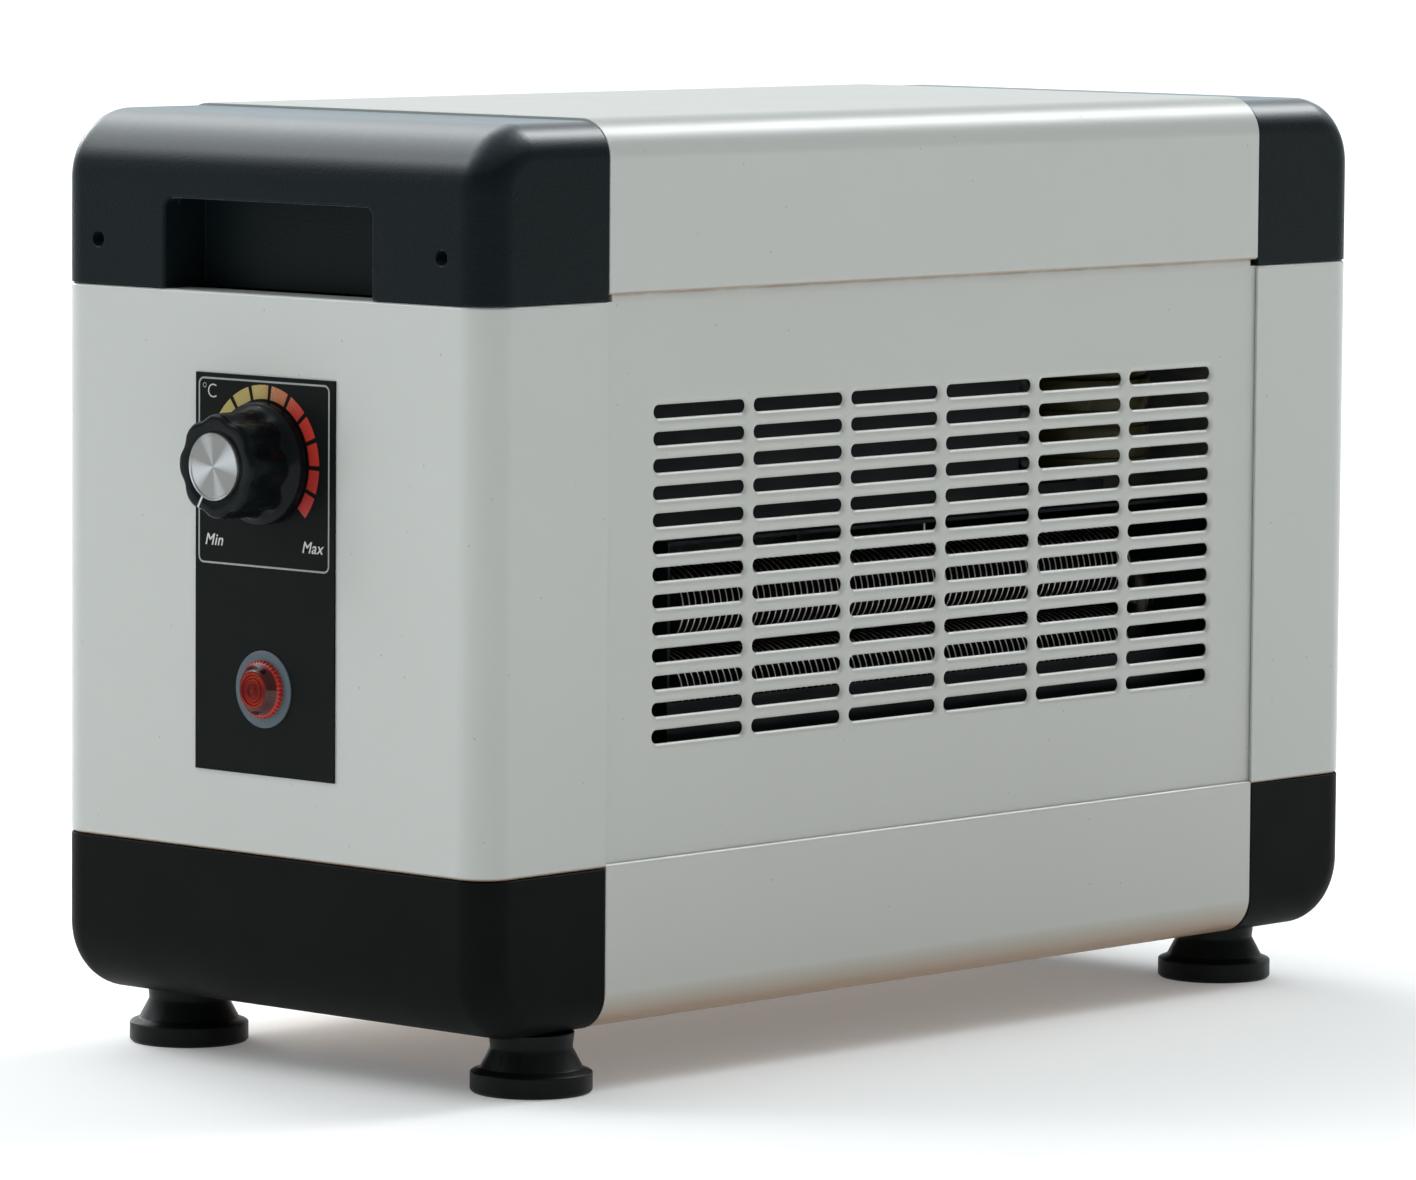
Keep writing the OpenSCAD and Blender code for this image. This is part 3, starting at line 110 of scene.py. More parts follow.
class Finish:
    def __init__(self, name, owner=None):
        self.owner = owner or bpy.data.materials.new(name)
        self.owner.use_nodes = True
        self.tree = self.owner.node_tree
        self.tree.nodes.clear()

    def node(self, kind, settings=None, sockets=None, output=0):
        made = self.tree.nodes.new("ShaderNode" + kind)
        for name, value in (settings or {}).items():
            if name == "stops":
                stops = made.color_ramp.elements
                while len(stops) < len(value):
                    stops.new(1)
                for stop, (place, colour) in zip(stops, value):
                    stop.position, stop.color = place, (*colour, 1)
            else:
                setattr(made, name, value)
        for name, value in (sockets or {}).items():
            if isinstance(value, Strand):
                self.tree.links.new(value.socket, made.inputs[name])
            elif isinstance(value, tuple) and len(value) == 3 and made.inputs[name].type == "RGBA":
                made.inputs[name].default_value = (*value, 1)
            else:
                made.inputs[name].default_value = value
        return Strand(self, made.outputs[output]) if made.outputs else self.owner

    def place(self, stretch=(1, 1, 1)):
        point = self.node("TexCoord", output="Object")
        if stretch == (1, 1, 1):
            return point
        return self.node("VectorMath", {"operation": "MULTIPLY"}, {0: point, 1: stretch})

    def axes(self):
        point = self.place()
        return [self.node("SeparateXYZ", None, {0: point}, axis) for axis in range(3)]

    def turned_up(self):
        # 1 where the surface looks up, -1 where it looks down
        return self.node("SeparateXYZ", None, {0: self.node("NewGeometry", output="Normal")}, 2)

    def clouds(self, size, detail=2.0, stretch=(1, 1, 1), rough=0.5):
        return self.node("TexNoise", None, {"Vector": self.place(stretch), "Scale": 1 / (size * MM),
                                            "Detail": detail, "Roughness": rough})

    def cells(self, size, feature="F1", stretch=(1, 1, 1)):
        return self.node("TexVoronoi", {"feature": feature},
                         {"Vector": self.place(stretch), "Scale": 1 / (size * MM)})

    def spread(self, value, low, high, out_low=0.0, out_high=1.0):
        return self.node("MapRange", {"clamp": True},
                         {0: value, 1: low, 2: high, 3: out_low, 4: out_high})

    def blend(self, share, first, second):
        return self.node("Mix", {"data_type": "RGBA"}, {0: share, 6: first, 7: second}, 2)

    def relief(self, height, depth, strength=1.0, under=None):
        sockets = {"Height": height, "Distance": depth * MM, "Strength": strength}
        if under:
            sockets["Normal"] = under
        return self.node("Bump", None, sockets)

    def coat(self, **sockets):
        named = {name.replace("_", " "): value for name, value in sockets.items()}
        return self.node("OutputMaterial", None, {0: self.node("BsdfPrincipled", None, named)})


# Studio
# A pale paper floor, itself faintly bright, runs out of sight under a plain soft sky. Diffusers
# make the sky brighter high on the left, above the far end and low behind. One small lamp gives
# the glints.
floor_mesh = bpy.data.meshes.new("floor")
FLOOR_REACH = 60
floor_mesh.from_pydata([(-FLOOR_REACH, -FLOOR_REACH, 0), (FLOOR_REACH, -FLOOR_REACH, 0),
                        (FLOOR_REACH, FLOOR_REACH, 0), (-FLOOR_REACH, FLOOR_REACH, 0)],
                       [], [(0, 1, 2, 3)])
floor = bpy.data.objects.new("floor", floor_mesh)
scene.collection.objects.link(floor)
paper = Finish("floor_paper")
paper_tone = paper.blend(paper.clouds(900, 3), (0.92, 0.92, 0.915), (0.94, 0.94, 0.935))
floor_mesh.materials.append(paper.coat(Base_Color=paper_tone, Roughness=0.95,
                                       Emission_Color=(1, 1, 1, 1), Emission_Strength=0.15))

scene.view_settings.view_transform = "Standard"
SKY_LEVEL, SKY_RISE, SKY_LEAST = 0.24, 0.12, 0.05
# each glow's direction, how narrow it is and how strong
SKY_GLOWS = [((-0.67, -0.36, 0.65), 12, 3.3), ((-0.67, 0.26, 0.69), 22, 2.9),
             ((0.1, 0.74, 0.67), 45, 11.5), ((-0.67, 0.74, 0.1), 4, 0.6),
             ((-0.91, 0.31, 0.27), 120, 12.0)]
sky = Finish("sky", bpy.data.worlds.new("sky"))
toward = sky.node("TexCoord", output="Generated")
sky_light = sky.node("SeparateXYZ", None, {0: toward}, 2) * SKY_RISE + SKY_LEVEL
for direction, narrowness, strength in SKY_GLOWS:
    facing = sky.node("VectorMath", {"operation": "DOT_PRODUCT"},
                      {0: toward, 1: Vector(direction).normalized()}, "Value")
    facing = sky.node("Math", {"operation": "MAXIMUM"}, {0: facing, 1: 0.0})
    sky_light = sky_light + facing ** narrowness * strength
sky_light = sky.node("Math", {"operation": "MAXIMUM"}, {0: sky_light, 1: SKY_LEAST})
sky_glow = sky.node("Background", None, {"Color": (0.95, 0.985, 1.0), "Strength": sky_light})
scene.world = sky.node("OutputWorld", None, {0: sky_glow})


def soft_light(name, place, aim, width, height, watts, colour):
    lamp = bpy.data.lights.new(name, "AREA")
    lamp.shape, lamp.size, lamp.size_y = "RECTANGLE", width, height
    lamp.energy, lamp.color = watts, colour
    holder = bpy.data.objects.new(name, lamp)
    holder.location = place
    holder.rotation_euler = (Vector(place) - Vector(aim)).to_track_quat("Z", "Y").to_euler()
    scene.collection.objects.link(holder)


soft_light("light_left", (-2.2, -1.9, 2.3), (0, 0, 0.15), 0.35, 0.3, 7, (0.95, 0.98, 1.0))

# Painted sheet
# Covers, end panels and grilles are 1 mm sheet steel, folded and then powder coated in a slightly
# green-grey white. The paint is semi-gloss with a faint orange peel, and rounds every sheared edge.


def powder_coat(name, underside_shade=0.85, shadowed_seams=(), warmth=0.0):
    paint = Finish(name)
    tone = paint.blend(paint.clouds(160, 3), (0.493, 0.512 - warmth / 2, 0.486 - warmth),
                       (0.523, 0.542 - warmth / 2, 0.516 - warmth))
    specks = paint.spread(paint.cells(9), 0.035, 0.05, 1, 0)
    tone = paint.blend(specks * 0.4, tone, (0.2, 0.18, 0.15))
    # faces that look down are painted brown: a painted shade and a painted reflection of a brown ground under
    # the box
    tone = paint.blend(paint.spread(paint.turned_up(), -0.05, -0.7, 0, underside_shade), tone, (0.335, 0.212, 0.125))
    z = paint.axes()[2]
    # a painted brown shadow just under each given seam, mottled by a cloud
    for height, reach, share in shadowed_seams:
        beside = paint.spread(abs(z - height * MM), 0.15 * MM, reach * MM, share, 0)
        tone = paint.blend(beside * paint.spread(paint.clouds(14, 3), 0.3, 0.6, 0.35, 1), tone,
                           (0.16, 0.11, 0.07))
    return paint.coat(Base_Color=tone, Normal=paint.relief(paint.clouds(1.6, 2), 0.01, 0.5),
                      Coat_Weight=0.18, Coat_Roughness=0.12, Specular_IOR_Level=0.5,
                      Roughness=paint.spread(paint.clouds(30, 2), 0.1, 0.9, 0.28, 0.36))


white_paint = powder_coat("white_paint")
warm_paint = powder_coat("warm_paint", warmth=0.022)


def add_piece(name, mesh, material, body, stands_for=(), slot=None, edge=0.0, rounds=2, turn=30):
    # smooth skin, rounded edges where the faces turn by more than the given angle
    mesh.materials.clear()
    mesh.materials.append(material)
    mesh.polygons.foreach_set("use_smooth", [True] * len(mesh.polygons))
    mesh.set_sharp_from_angle(angle=math.radians(turn))
    piece = bpy.data.objects.new(name, mesh)
    scene.collection.objects.link(piece)
    if edge:
        bevel = piece.modifiers.new("rounded_edges", "BEVEL")
        bevel.width, bevel.segments = edge * MM, rounds
        bevel.limit_method, bevel.angle_limit = "ANGLE", math.radians(turn)
        bevel.harden_normals = True
        bevel.use_clamp_overlap = False
    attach(piece, body)
    if stands_for:
        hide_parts(*stands_for)
    return piece


def skin_of(node):
    # the solid's surface as one closed skin, its flat faces whole again
    shell = bmesh.new()
    shell.from_mesh(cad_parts[node].data)
    bmesh.ops.remove_doubles(shell, verts=shell.verts, dist=0.002 * MM)
    bmesh.ops.dissolve_degenerate(shell, dist=0.001 * MM, edges=shell.edges)
    bmesh.ops.dissolve_limit(shell, angle_limit=math.radians(0.5), verts=shell.verts,
                             edges=shell.edges)
    mesh = bpy.data.meshes.new(node)
    shell.to_mesh(mesh)
    shell.free()
    return mesh


def dress(node, name, material, slot, edge, body="housing", **how):
    return add_piece(name, skin_of(node), material, body, [node], slot, edge, **how)


def even_skin(piece):
    # flat faces keep their flat shading beside rounded edges
    weigh = piece.modifiers.new("even_skin", "WEIGHTED_NORMAL")
    weigh.keep_sharp = True
    return piece


def rounded(mesh, radius, chosen, steps=4):
    # the chosen edges get a radius of their own
    shell = bmesh.new()
    shell.from_mesh(mesh)
    edges = [edge for edge in shell.edges if len(edge.link_faces) == 2 and chosen(edge)]
    bmesh.ops.bevel(shell, geom=edges, offset=radius * MM, segments=steps, profile=0.4,
                    affect="EDGES", clamp_overlap=True)
    shell.to_mesh(mesh)
    shell.free()
    return mesh


PANEL_TOP = 232.4
panel_low, panel_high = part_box("front_end_panel")


def on_fold(edge):
    # where an end panel's wall turns into its upper or lower flange, on the outside
    level = edge.verts[0].co.z
    wall, flange = sorted(edge.link_faces, key=lambda face: abs(face.normal.z))
    middle = (edge.verts[0].co + edge.verts[1].co) / 2
    outside = abs(middle.x) > panel_high.x - 11.5 * MM or abs(middle.y) > abs(panel_low.y) - 0.5 * MM
    outward = Vector((middle.x, middle.y - math.copysign(160 * MM, middle.y), 0))
    return (min(abs(level - panel_low.z), abs(level - PANEL_TOP * MM)) < 0.05 * MM and outside
            and abs(flange.normal.z) > 0.99 and abs(wall.normal.z) < 0.01
            and wall.normal.dot(outward) > 0 and not 189.5 * MM < abs(middle.y) < 191.5 * MM)


top_low, top_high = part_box("top_cover")
bottom_low, bottom_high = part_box("bottom_cover")


def on_hem(edge):
    # a cover's long outer edge, where it laps over a grille
    heights = [vert.co.z for vert in edge.verts]
    return (all(abs(vert.co.x) > top_high.x - 0.05 * MM for vert in edge.verts)
            and abs(heights[0] - heights[1]) < 0.01 * MM
            and min(abs(heights[0] - top_low.z), abs(heights[0] - bottom_high.z)) < 0.05 * MM)


for node, paint in (("top_cover", white_paint), ("bottom_cover", warm_paint)):
    even_skin(add_piece("painted_" + node, rounded(skin_of(node), 0.8, on_hem, 5), paint,
                        "housing", [node], "white_paint", 0.18))
for node in ("front_end_panel", "rear_end_panel"):
    even_skin(add_piece("painted_" + node, rounded(skin_of(node), 0.95, on_fold, 5), white_paint,
                        "housing", [node], "white_paint", 0.16))

# Grilles
# The side panels are punched from outside with rows of obround slots, so that each slot has a
# rolled-in outer edge, which the paint makes rounder, and a sharp inner one.
SLOT_ROWS, SLOT_COLUMNS = 13, 6
SLOT_PITCH_Y, SLOT_PITCH_Z = 44.0, 8.0
SLOT_HALF, SLOT_R = 18.0, 2.0
SLOT_MID_Y, SLOT_MID_Z = 0.0, 151.05
SEAM_PAINT = 0.18
# the panel is narrower above and below, where the covers lap over it
TONGUE_HALF, LAP_LOW, LAP_HIGH = 149.0, 66.6, 232.2
# the rolled edge's points: depth under the face, and distance out from the slot
ROLL = [(0, 1.75), (0.05, 1.35), (0.13, 1.02), (0.24, 0.75), (0.39, 0.5), (0.60, 0.27),
        (0.79, 0.08), (0.90, 0)]
grille_low, grille_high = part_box("outlet_grille")
PANEL_OUT, PANEL_IN = grille_high.x / MM, grille_low.x / MM
QUARTER = 6


def slot_loop(grow):
    # the slot's outline, grown, as points that match the cell's border
    points = []
    for side, first in ((1, 90), (-1, 270)):
        for k in range(2 * QUARTER + 1):
            angle = math.radians(first - k * 90 / QUARTER)
            reach = SLOT_R + grow
            points.append((side * SLOT_HALF + reach * math.cos(angle), reach * math.sin(angle)))
    return points


def cell_border():
    half_y, half_z, steps = SLOT_PITCH_Y / 2, SLOT_PITCH_Z / 2, QUARTER // 2
    corner = [(SLOT_HALF + (half_y - SLOT_HALF) * k / steps, half_z) for k in range(steps + 1)]
    corner += [(half_y, half_z * (1 - k / steps)) for k in range(1, steps + 1)]
    right = corner + [(y, -z) for y, z in corner[-2::-1]]
    return right + [(-y, -z) for y, z in right]


def grille_mesh(side):
    bank, points, faces = {}, [], []

    def point(depth, y, z):
        key = (round(depth, 3), round(y, 3), round(z, 3))
        if key not in bank:
            bank[key] = len(points)
            points.append((side * (PANEL_OUT - depth) * MM, y * MM, z * MM))
        return bank[key]

    sheet = PANEL_OUT - PANEL_IN
    border = cell_border()
    rings = [(0, border)] + [(sunk, slot_loop(away)) for sunk, away in ROLL]
    rings += [(sheet - 0.06, slot_loop(0)), (sheet, slot_loop(0.06)), (sheet, border)]
    for row in range(SLOT_ROWS):
        for column in range(SLOT_COLUMNS):
            mid_y = SLOT_MID_Y + (column - (SLOT_COLUMNS - 1) / 2) * SLOT_PITCH_Y
            mid_z = SLOT_MID_Z + (row - (SLOT_ROWS - 1) / 2) * SLOT_PITCH_Z
            loops = [[point(depth, mid_y + y, mid_z + z) for y, z in loop] for depth, loop in rings]
            for outer, inner in zip(loops, loops[1:]):
                for k in range(len(outer)):
                    n = (k + 1) % len(outer)
                    faces.append((outer[k], outer[n], inner[n], inner[k]))
    # plain margin round the slots, on the lines of the cells' own points
    field_y = SLOT_COLUMNS * SLOT_PITCH_Y / 2
    field_z = SLOT_ROWS * SLOT_PITCH_Z / 2
    cell_y = sorted({round(y, 3) for y, z in border})
    cell_z = sorted({round(z, 3) for y, z in border})
    lines_y = {SLOT_MID_Y + (c - (SLOT_COLUMNS - 1) / 2) * SLOT_PITCH_Y + y
               for c in range(SLOT_COLUMNS) for y in cell_y}
    lines_z = {SLOT_MID_Z + (r - (SLOT_ROWS - 1) / 2) * SLOT_PITCH_Z + z
               for r in range(SLOT_ROWS) for z in cell_z}
    wide_y, narrow_y = grille_high.y / MM + SEAM_PAINT, TONGUE_HALF
    high_z, low_z = grille_high.z / MM, grille_low.z / MM
    lap_low, lap_high = LAP_LOW, LAP_HIGH
    lines_y = sorted(lines_y | {-wide_y, -narrow_y, narrow_y, wide_y})
    lines_z = sorted(lines_z | {low_z, lap_low, lap_high, high_z})

    def is_sheet(i, j):
        if not (0 <= i < len(lines_y) - 1 and 0 <= j < len(lines_z) - 1):
            return False
        y, z = (lines_y[i] + lines_y[i + 1]) / 2, (lines_z[j] + lines_z[j + 1]) / 2
        return abs(y) < narrow_y or lap_low < z < lap_high

    for i in range(len(lines_y) - 1):
        for j in range(len(lines_z) - 1):
            y0, y1, z0, z1 = lines_y[i], lines_y[i + 1], lines_z[j], lines_z[j + 1]
            in_field = (abs((y0 + y1) / 2 - SLOT_MID_Y) < field_y
                        and abs((z0 + z1) / 2 - SLOT_MID_Z) < field_z)
            if in_field or not is_sheet(i, j):
                continue
            corners = ((y0, z0), (y1, z0), (y1, z1), (y0, z1))
            faces.append([point(0, y, z) for y, z in corners])
            faces.append([point(sheet, y, z) for y, z in reversed(corners)])
            beside = ((i, j - 1), (i + 1, j), (i, j + 1), (i - 1, j))
            for k, (a, b) in enumerate(beside):
                if not is_sheet(a, b):
                    p, q = corners[k], corners[(k + 1) % 4]
                    faces.append((point(0, *p), point(sheet, *p), point(sheet, *q), point(0, *q)))
    mesh = bpy.data.meshes.new("grille")
    mesh.from_pydata(points, [], faces)
    shell = bmesh.new()
    shell.from_mesh(mesh)
    bmesh.ops.recalc_face_normals(shell, faces=shell.faces)
    shell.to_mesh(mesh)
    shell.free()
    return mesh


COVER_EDGE = 234.3
# the grilles get no painted underside shade, but a painted shadow under the top cover's lower edge
grille_paint = powder_coat("grille_paint", 0, [(COVER_EDGE, 0.8, 0.6), (COVER_EDGE, 3.0, 0.22)], 0.02)
for name, side in (("outlet_grille", 1), ("intake_grille", -1)):
    even_skin(add_piece("punched_" + name, grille_mesh(side), grille_paint, "housing", [name],
                        "white_paint", turn=50))

# Corner caps
# Each end has an upper and a lower cap, injection moulded in black ABS. The upper ones come from a
# mould with a fine leather grain, the lower ones are smoother; all edges are slightly rounded.
grained = Finish("black_abs_grained")
grain = grained.cells(0.8) + grained.clouds(0.6, 2) * 0.5
grain_relief = grained.relief(grain, 0.11, 0.75, grained.relief(grained.clouds(9, 2), 0.07, 0.3))
# faces that look up are painted a paler blue-grey: a painted sheen, with paler smears in it; they also get a
# clear coat
upward_sheen = grained.spread(grained.turned_up(), 0.28, 1.0)
sheen_smears = grained.spread(grained.clouds(7, 5, (1, 0.35, 0.5)), 0.56, 0.75) * upward_sheen
grain_and_sheen_tone = grained.blend(grained.clouds(60, 3), (0.0042, 0.0086, 0.0100), (0.0062, 0.0108, 0.0122))
grain_and_sheen_tone = grained.blend(upward_sheen, grain_and_sheen_tone, (0.008, 0.026, 0.036))
grain_and_sheen_tone = grained.blend(sheen_smears * 0.2, grain_and_sheen_tone, (0.11, 0.13, 0.14))
black_grained = grained.coat(Base_Color=grain_and_sheen_tone, Normal=grain_relief, Sheen_Weight=0.75,
                             Sheen_Roughness=0.2, Sheen_Tint=(0.62, 0.87, 1.0),
                             Specular_IOR_Level=0.08, Coat_Weight=upward_sheen, Coat_Roughness=0.3, Coat_IOR=1.8,
                             Roughness=grained.spread(grain, 0.2, 1.0, 0.5, 0.4))
satin = Finish("black_abs_satin")
satin_relief = satin.relief(satin.clouds(1.1, 3), 0.02, 0.3)
satin_tone = satin.blend(satin.clouds(45, 3), (0.0036, 0.0042, 0.0042), (0.0055, 0.0064, 0.0064))
black_satin = satin.coat(Base_Color=satin_tone, Normal=satin_relief, Specular_IOR_Level=0.05,
                         Roughness=satin.spread(satin.clouds(20), 0.3, 0.7, 0.44, 0.54))
MOUTH_HALF, MOUTH_LOW, MOUTH_HIGH, END_Y = 43.1, 232.6, 259.4, 203.0


def on_mouth(edge):
    # the finger recess's border on the cap's face
    return all(abs(abs(vert.co.y) - END_Y * MM) < 0.05 * MM and abs(vert.co.x) < (MOUTH_HALF + 0.1) * MM
               and (MOUTH_LOW - 0.1) * MM < vert.co.z < (MOUTH_HIGH + 0.1) * MM for vert in edge.verts)


for node in ("front_top_cap", "rear_top_cap"):
    even_skin(add_piece("moulded_" + node, rounded(skin_of(node), 0.95, on_mouth), black_grained,
                        "housing", [node], "black_abs", 0.25, turn=38))
for node in ("front_bottom_cap", "rear_bottom_cap"):
    even_skin(dress(node, "moulded_" + node, black_satin, "black_abs", 0.4, turn=38))

# Screws
# Cross-head screws hold the caps to the end panels, deep in their holes, and larger ones hold the
# bottom cover to the base plate. Both are zinc plated.
zinc = Finish("zinc_steel")
zinc_cloud = zinc.clouds(14, 4)
zinc_tone = zinc.blend(zinc.spread(zinc_cloud, 0.35, 0.65), (0.50, 0.51, 0.53), (0.62, 0.62, 0.60))
zinc_streak = zinc.clouds(3, 2, (1, 0.05, 1))
zinc_steel = zinc.coat(Base_Color=zinc_tone, Metallic=0.92, Normal=zinc.relief(zinc_streak, 0.02, 0.4),
                       Roughness=zinc.spread(zinc_cloud, 0.3, 0.7, 0.28, 0.46))
for node in ("cap_screws", "base_screws"):
    dress(node, "plated_" + node, zinc_steel, "zinc_steel", 0.18)

# Control plate
# A thin printed plate, satin black, lies on the end panel behind the knob and the lamp. The frame
# line, the words and the coloured scale are screen printed; each lies a hair proud of the plate.
plate_low, plate_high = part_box("control_plate")
PLATE_Y = plate_low.y / MM
INK = 0.03
SCALE_X, SCALE_Z = -0.4, 182.85
ink = Finish("printed_plate")
plate_relief = ink.relief(ink.clouds(0.7, 2), 0.008, 0.4)
scuff = ink.spread(ink.clouds(5, 5, (1, 1, 0.25)), 0.68, 0.74)
plate_tone = ink.blend(scuff * 0.12, (0.0050, 0.0068, 0.0064), (0.03, 0.032, 0.032))
plate_black = ink.coat(Base_Color=plate_tone, Normal=plate_relief, Specular_IOR_Level=0.06,
                       Roughness=ink.spread(ink.clouds(12), 0.3, 0.7, 0.34, 0.46))
dress("control_plate", "printed_control_plate", plate_black, "printed_plate", 0.12)


def flat_print(name, outlines, material):
    # closed thin prints: each outline is a fan-free strip given as two equal rows of points
    points, faces = [], []
    front, rear = PLATE_Y - INK, PLATE_Y + INK
    for outer, inner in outlines:
        base, n = len(points), len(outer)
        for y in (front, rear):
            points += [(x * MM, y * MM, z * MM) for x, z in outer]
            points += [(x * MM, y * MM, z * MM) for x, z in inner]
        for k in range(n - 1):
            a, b, c, d = base + k, base + k + 1, base + n + k + 1, base + n + k
            faces += [(a, b, c, d), (d + 2 * n, c + 2 * n, b + 2 * n, a + 2 * n),
                      (b, a, a + 2 * n, b + 2 * n), (d, c, c + 2 * n, d + 2 * n)]
        if outer[0] != outer[-1]:
            for k in (0, n - 1):
                faces.append((base + k, base + n + k, base + 3 * n + k, base + 2 * n + k))
    mesh = bpy.data.meshes.new(name)
    mesh.from_pydata(points, [], faces)
    shell = bmesh.new()
    shell.from_mesh(mesh)
    bmesh.ops.remove_doubles(shell, verts=shell.verts, dist=0.001 * MM)
    bmesh.ops.recalc_face_normals(shell, faces=shell.faces)
    shell.to_mesh(mesh)
    shell.free()
    return add_piece(name, mesh, material, "housing", slot="printed_plate")


def round_frame(x0, x1, z0, z1, radius, inset):
    points = []
    for cx, cz, first in ((x1 - radius, z1 - radius, 0), (x0 + radius, z1 - radius, 90),
                          (x0 + radius, z0 + radius, 180), (x1 - radius, z0 + radius, 270)):
        for k in range(9):
            a = math.radians(first + k * 90 / 8)
            reach = radius - inset
            points.append((cx + reach * math.cos(a), cz + reach * math.sin(a)))
    return points + points[:1]


silver = Finish("silver_ink")
silver_ink = silver.coat(Base_Color=silver.blend(silver.clouds(2, 3), (0.26, 0.275, 0.275),
                                                 (0.34, 0.35, 0.35)),
                         Roughness=0.42)
FRAME_X0, FRAME_X1, FRAME_Z0, FRAME_Z1, FRAME_LINE = -27.7, 26.9, 151.9, 207.1, 0.55
flat_print("printed_frame", [(round_frame(FRAME_X0, FRAME_X1, FRAME_Z0, FRAME_Z1, 2.2, 0),
                              round_frame(FRAME_X0, FRAME_X1, FRAME_Z0, FRAME_Z1, 2.2, FRAME_LINE))],
           silver_ink)

heat = Finish("scale_ink")
heat_x, heat_y, heat_z = heat.axes()
heat_angle = heat.node("Math", {"operation": "ARCTAN2"},
                       {0: heat_z - SCALE_Z * MM, 1: heat_x - SCALE_X * MM})
heat_share = heat.spread(heat_angle, math.radians(-50), math.radians(180), 1, 0)
heat_share = heat_share + (heat.clouds(0.5, 1) - 0.5) * 0.2
heat_tone = heat.node("ValToRGB", {"stops": [(0.0, (0.42, 0.33, 0.08)), (0.38, (0.42, 0.32, 0.08)),
                                             (0.44, (0.43, 0.14, 0.04)), (0.50, (0.42, 0.11, 0.035)),
                                             (0.55, (0.47, 0.03, 0.018)), (1.0, (0.36, 0.018, 0.013))]},
                      {0: heat_share})
scale_ink = heat.coat(Base_Color=heat_tone, Roughness=0.4)
SCALE_IN, SCALE_OUT, SCALE_STEPS, SCALE_FIRST, SCALE_SWEEP = 18.9, 23.05, 13, 231.2, 274.3
segments = []
for k in range(SCALE_STEPS):
    span = SCALE_SWEEP / SCALE_STEPS
    angles = [math.radians(SCALE_FIRST - (k + share) * span)
              for share in (0.085, 0.25, 0.5, 0.75, 0.915)]
    segments.append(tuple([(SCALE_X + r * math.cos(a), SCALE_Z + r * math.sin(a)) for a in angles]
                          for r in (SCALE_OUT, SCALE_IN)))
flat_print("printed_scale", segments, scale_ink)

lettering = Finish("pale_ink")
pale_ink = lettering.coat(Base_Color=lettering.blend(lettering.clouds(1, 2), (0.50, 0.51, 0.51),
                                                     (0.60, 0.61, 0.60)), Roughness=0.45)


def printed_word(name, text, x, z, height, weight, slant, spacing=1.0):
    words = bpy.data.curves.new(name, "FONT")
    words.body, words.size = text, height * MM
    words.shear, words.offset, words.space_character = slant, weight * MM, spacing
    words.extrude, words.align_x, words.align_y = INK * MM, "CENTER", "CENTER"
    words.resolution_u = 6
    shape = bpy.data.objects.new(name + "_outline", words)
    scene.collection.objects.link(shape)
    bpy.context.view_layer.update()
    mesh = bpy.data.meshes.new_from_object(shape.evaluated_get(bpy.context.evaluated_depsgraph_get()))
    bpy.data.objects.remove(shape)
    mesh.transform(Matrix.Translation((x * MM, PLATE_Y * MM, z * MM))
                   @ Matrix.Rotation(math.radians(90), 4, "X"))
    return add_piece(name, mesh, pale_ink, "housing", slot="printed_plate")


printed_word("printed_degree_sign", "°C", -23.1, 202.9, 6.0, -0.09, 0.0, 0.95)
printed_word("printed_min", "Min", -21.2, 158.9, 4.85, 0.05, 0.26, 1.07)
printed_word("printed_max", "Max", 19.8, 158.9, 4.85, 0.05, 0.26, 1.07)

# Knob
# The temperature knob is one glossy black moulding with eight finger hollows, a low round skirt
# and a spun aluminium disc let into its front. A white line runs from the disc to the rim.
knob_low, knob_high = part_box("knob")
KNOB_BACK, KNOB_FRONT = knob_high.y / MM, knob_low.y / MM
KNOB_Z = (knob_low.z + knob_high.z) / 2 / MM
SKIRT_R, GRIP_R, DISC_R = knob_high.x / MM, 15.6, 10.05
disc_low, disc_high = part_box("knob_disc")
gloss = Finish("knob_plastic")
knob_black = gloss.coat(Base_Color=gloss.blend(gloss.clouds(6, 2), (0.0034, 0.0052, 0.0058),
                                               (0.0052, 0.0072, 0.0080)),
                        Normal=gloss.relief(gloss.clouds(2.5, 3), 0.02, 0.25),
                        Roughness=gloss.spread(gloss.clouds(8), 0.3, 0.7, 0.2, 0.3),
                        Specular_IOR_Level=0.06, Coat_Weight=0.1, Coat_Roughness=0.06)


def hollow(angle):
    # 1 in the middle of a finger hollow, 0 on a lobe
    wave = (1 - math.cos(8 * angle)) / 2
    return wave ** 1.6


def knob_reach(angle, stage):
    radius, dip = stage
    return radius - dip * hollow(angle)


def turned_mesh(name, rings, steps, reach, place_x, place_z, closed_ends=True):
    # rings of (y, what reach needs), joined from first to last
    points, faces = [], []
    for y, stage in rings:
        for k in range(steps):
            a = 2 * math.pi * k / steps
            r = reach(a, stage)
            points.append(((place_x + r * math.cos(a)) * MM, y * MM, (place_z + r * math.sin(a)) * MM))
    for j in range(len(rings) - 1):
        for k in range(steps):
            n = (k + 1) % steps
            faces.append((j * steps + k, j * steps + n, (j + 1) * steps + n, (j + 1) * steps + k))
    if closed_ends:
        faces.append(tuple(range(steps)))
        faces.append(tuple(range((len(rings) - 1) * steps, len(rings) * steps)))
    mesh = bpy.data.meshes.new(name)
    mesh.from_pydata(points, [], faces)
    shell = bmesh.new()
    shell.from_mesh(mesh)
    bmesh.ops.recalc_face_normals(shell, faces=shell.faces)
    shell.to_mesh(mesh)
    shell.free()
    return mesh


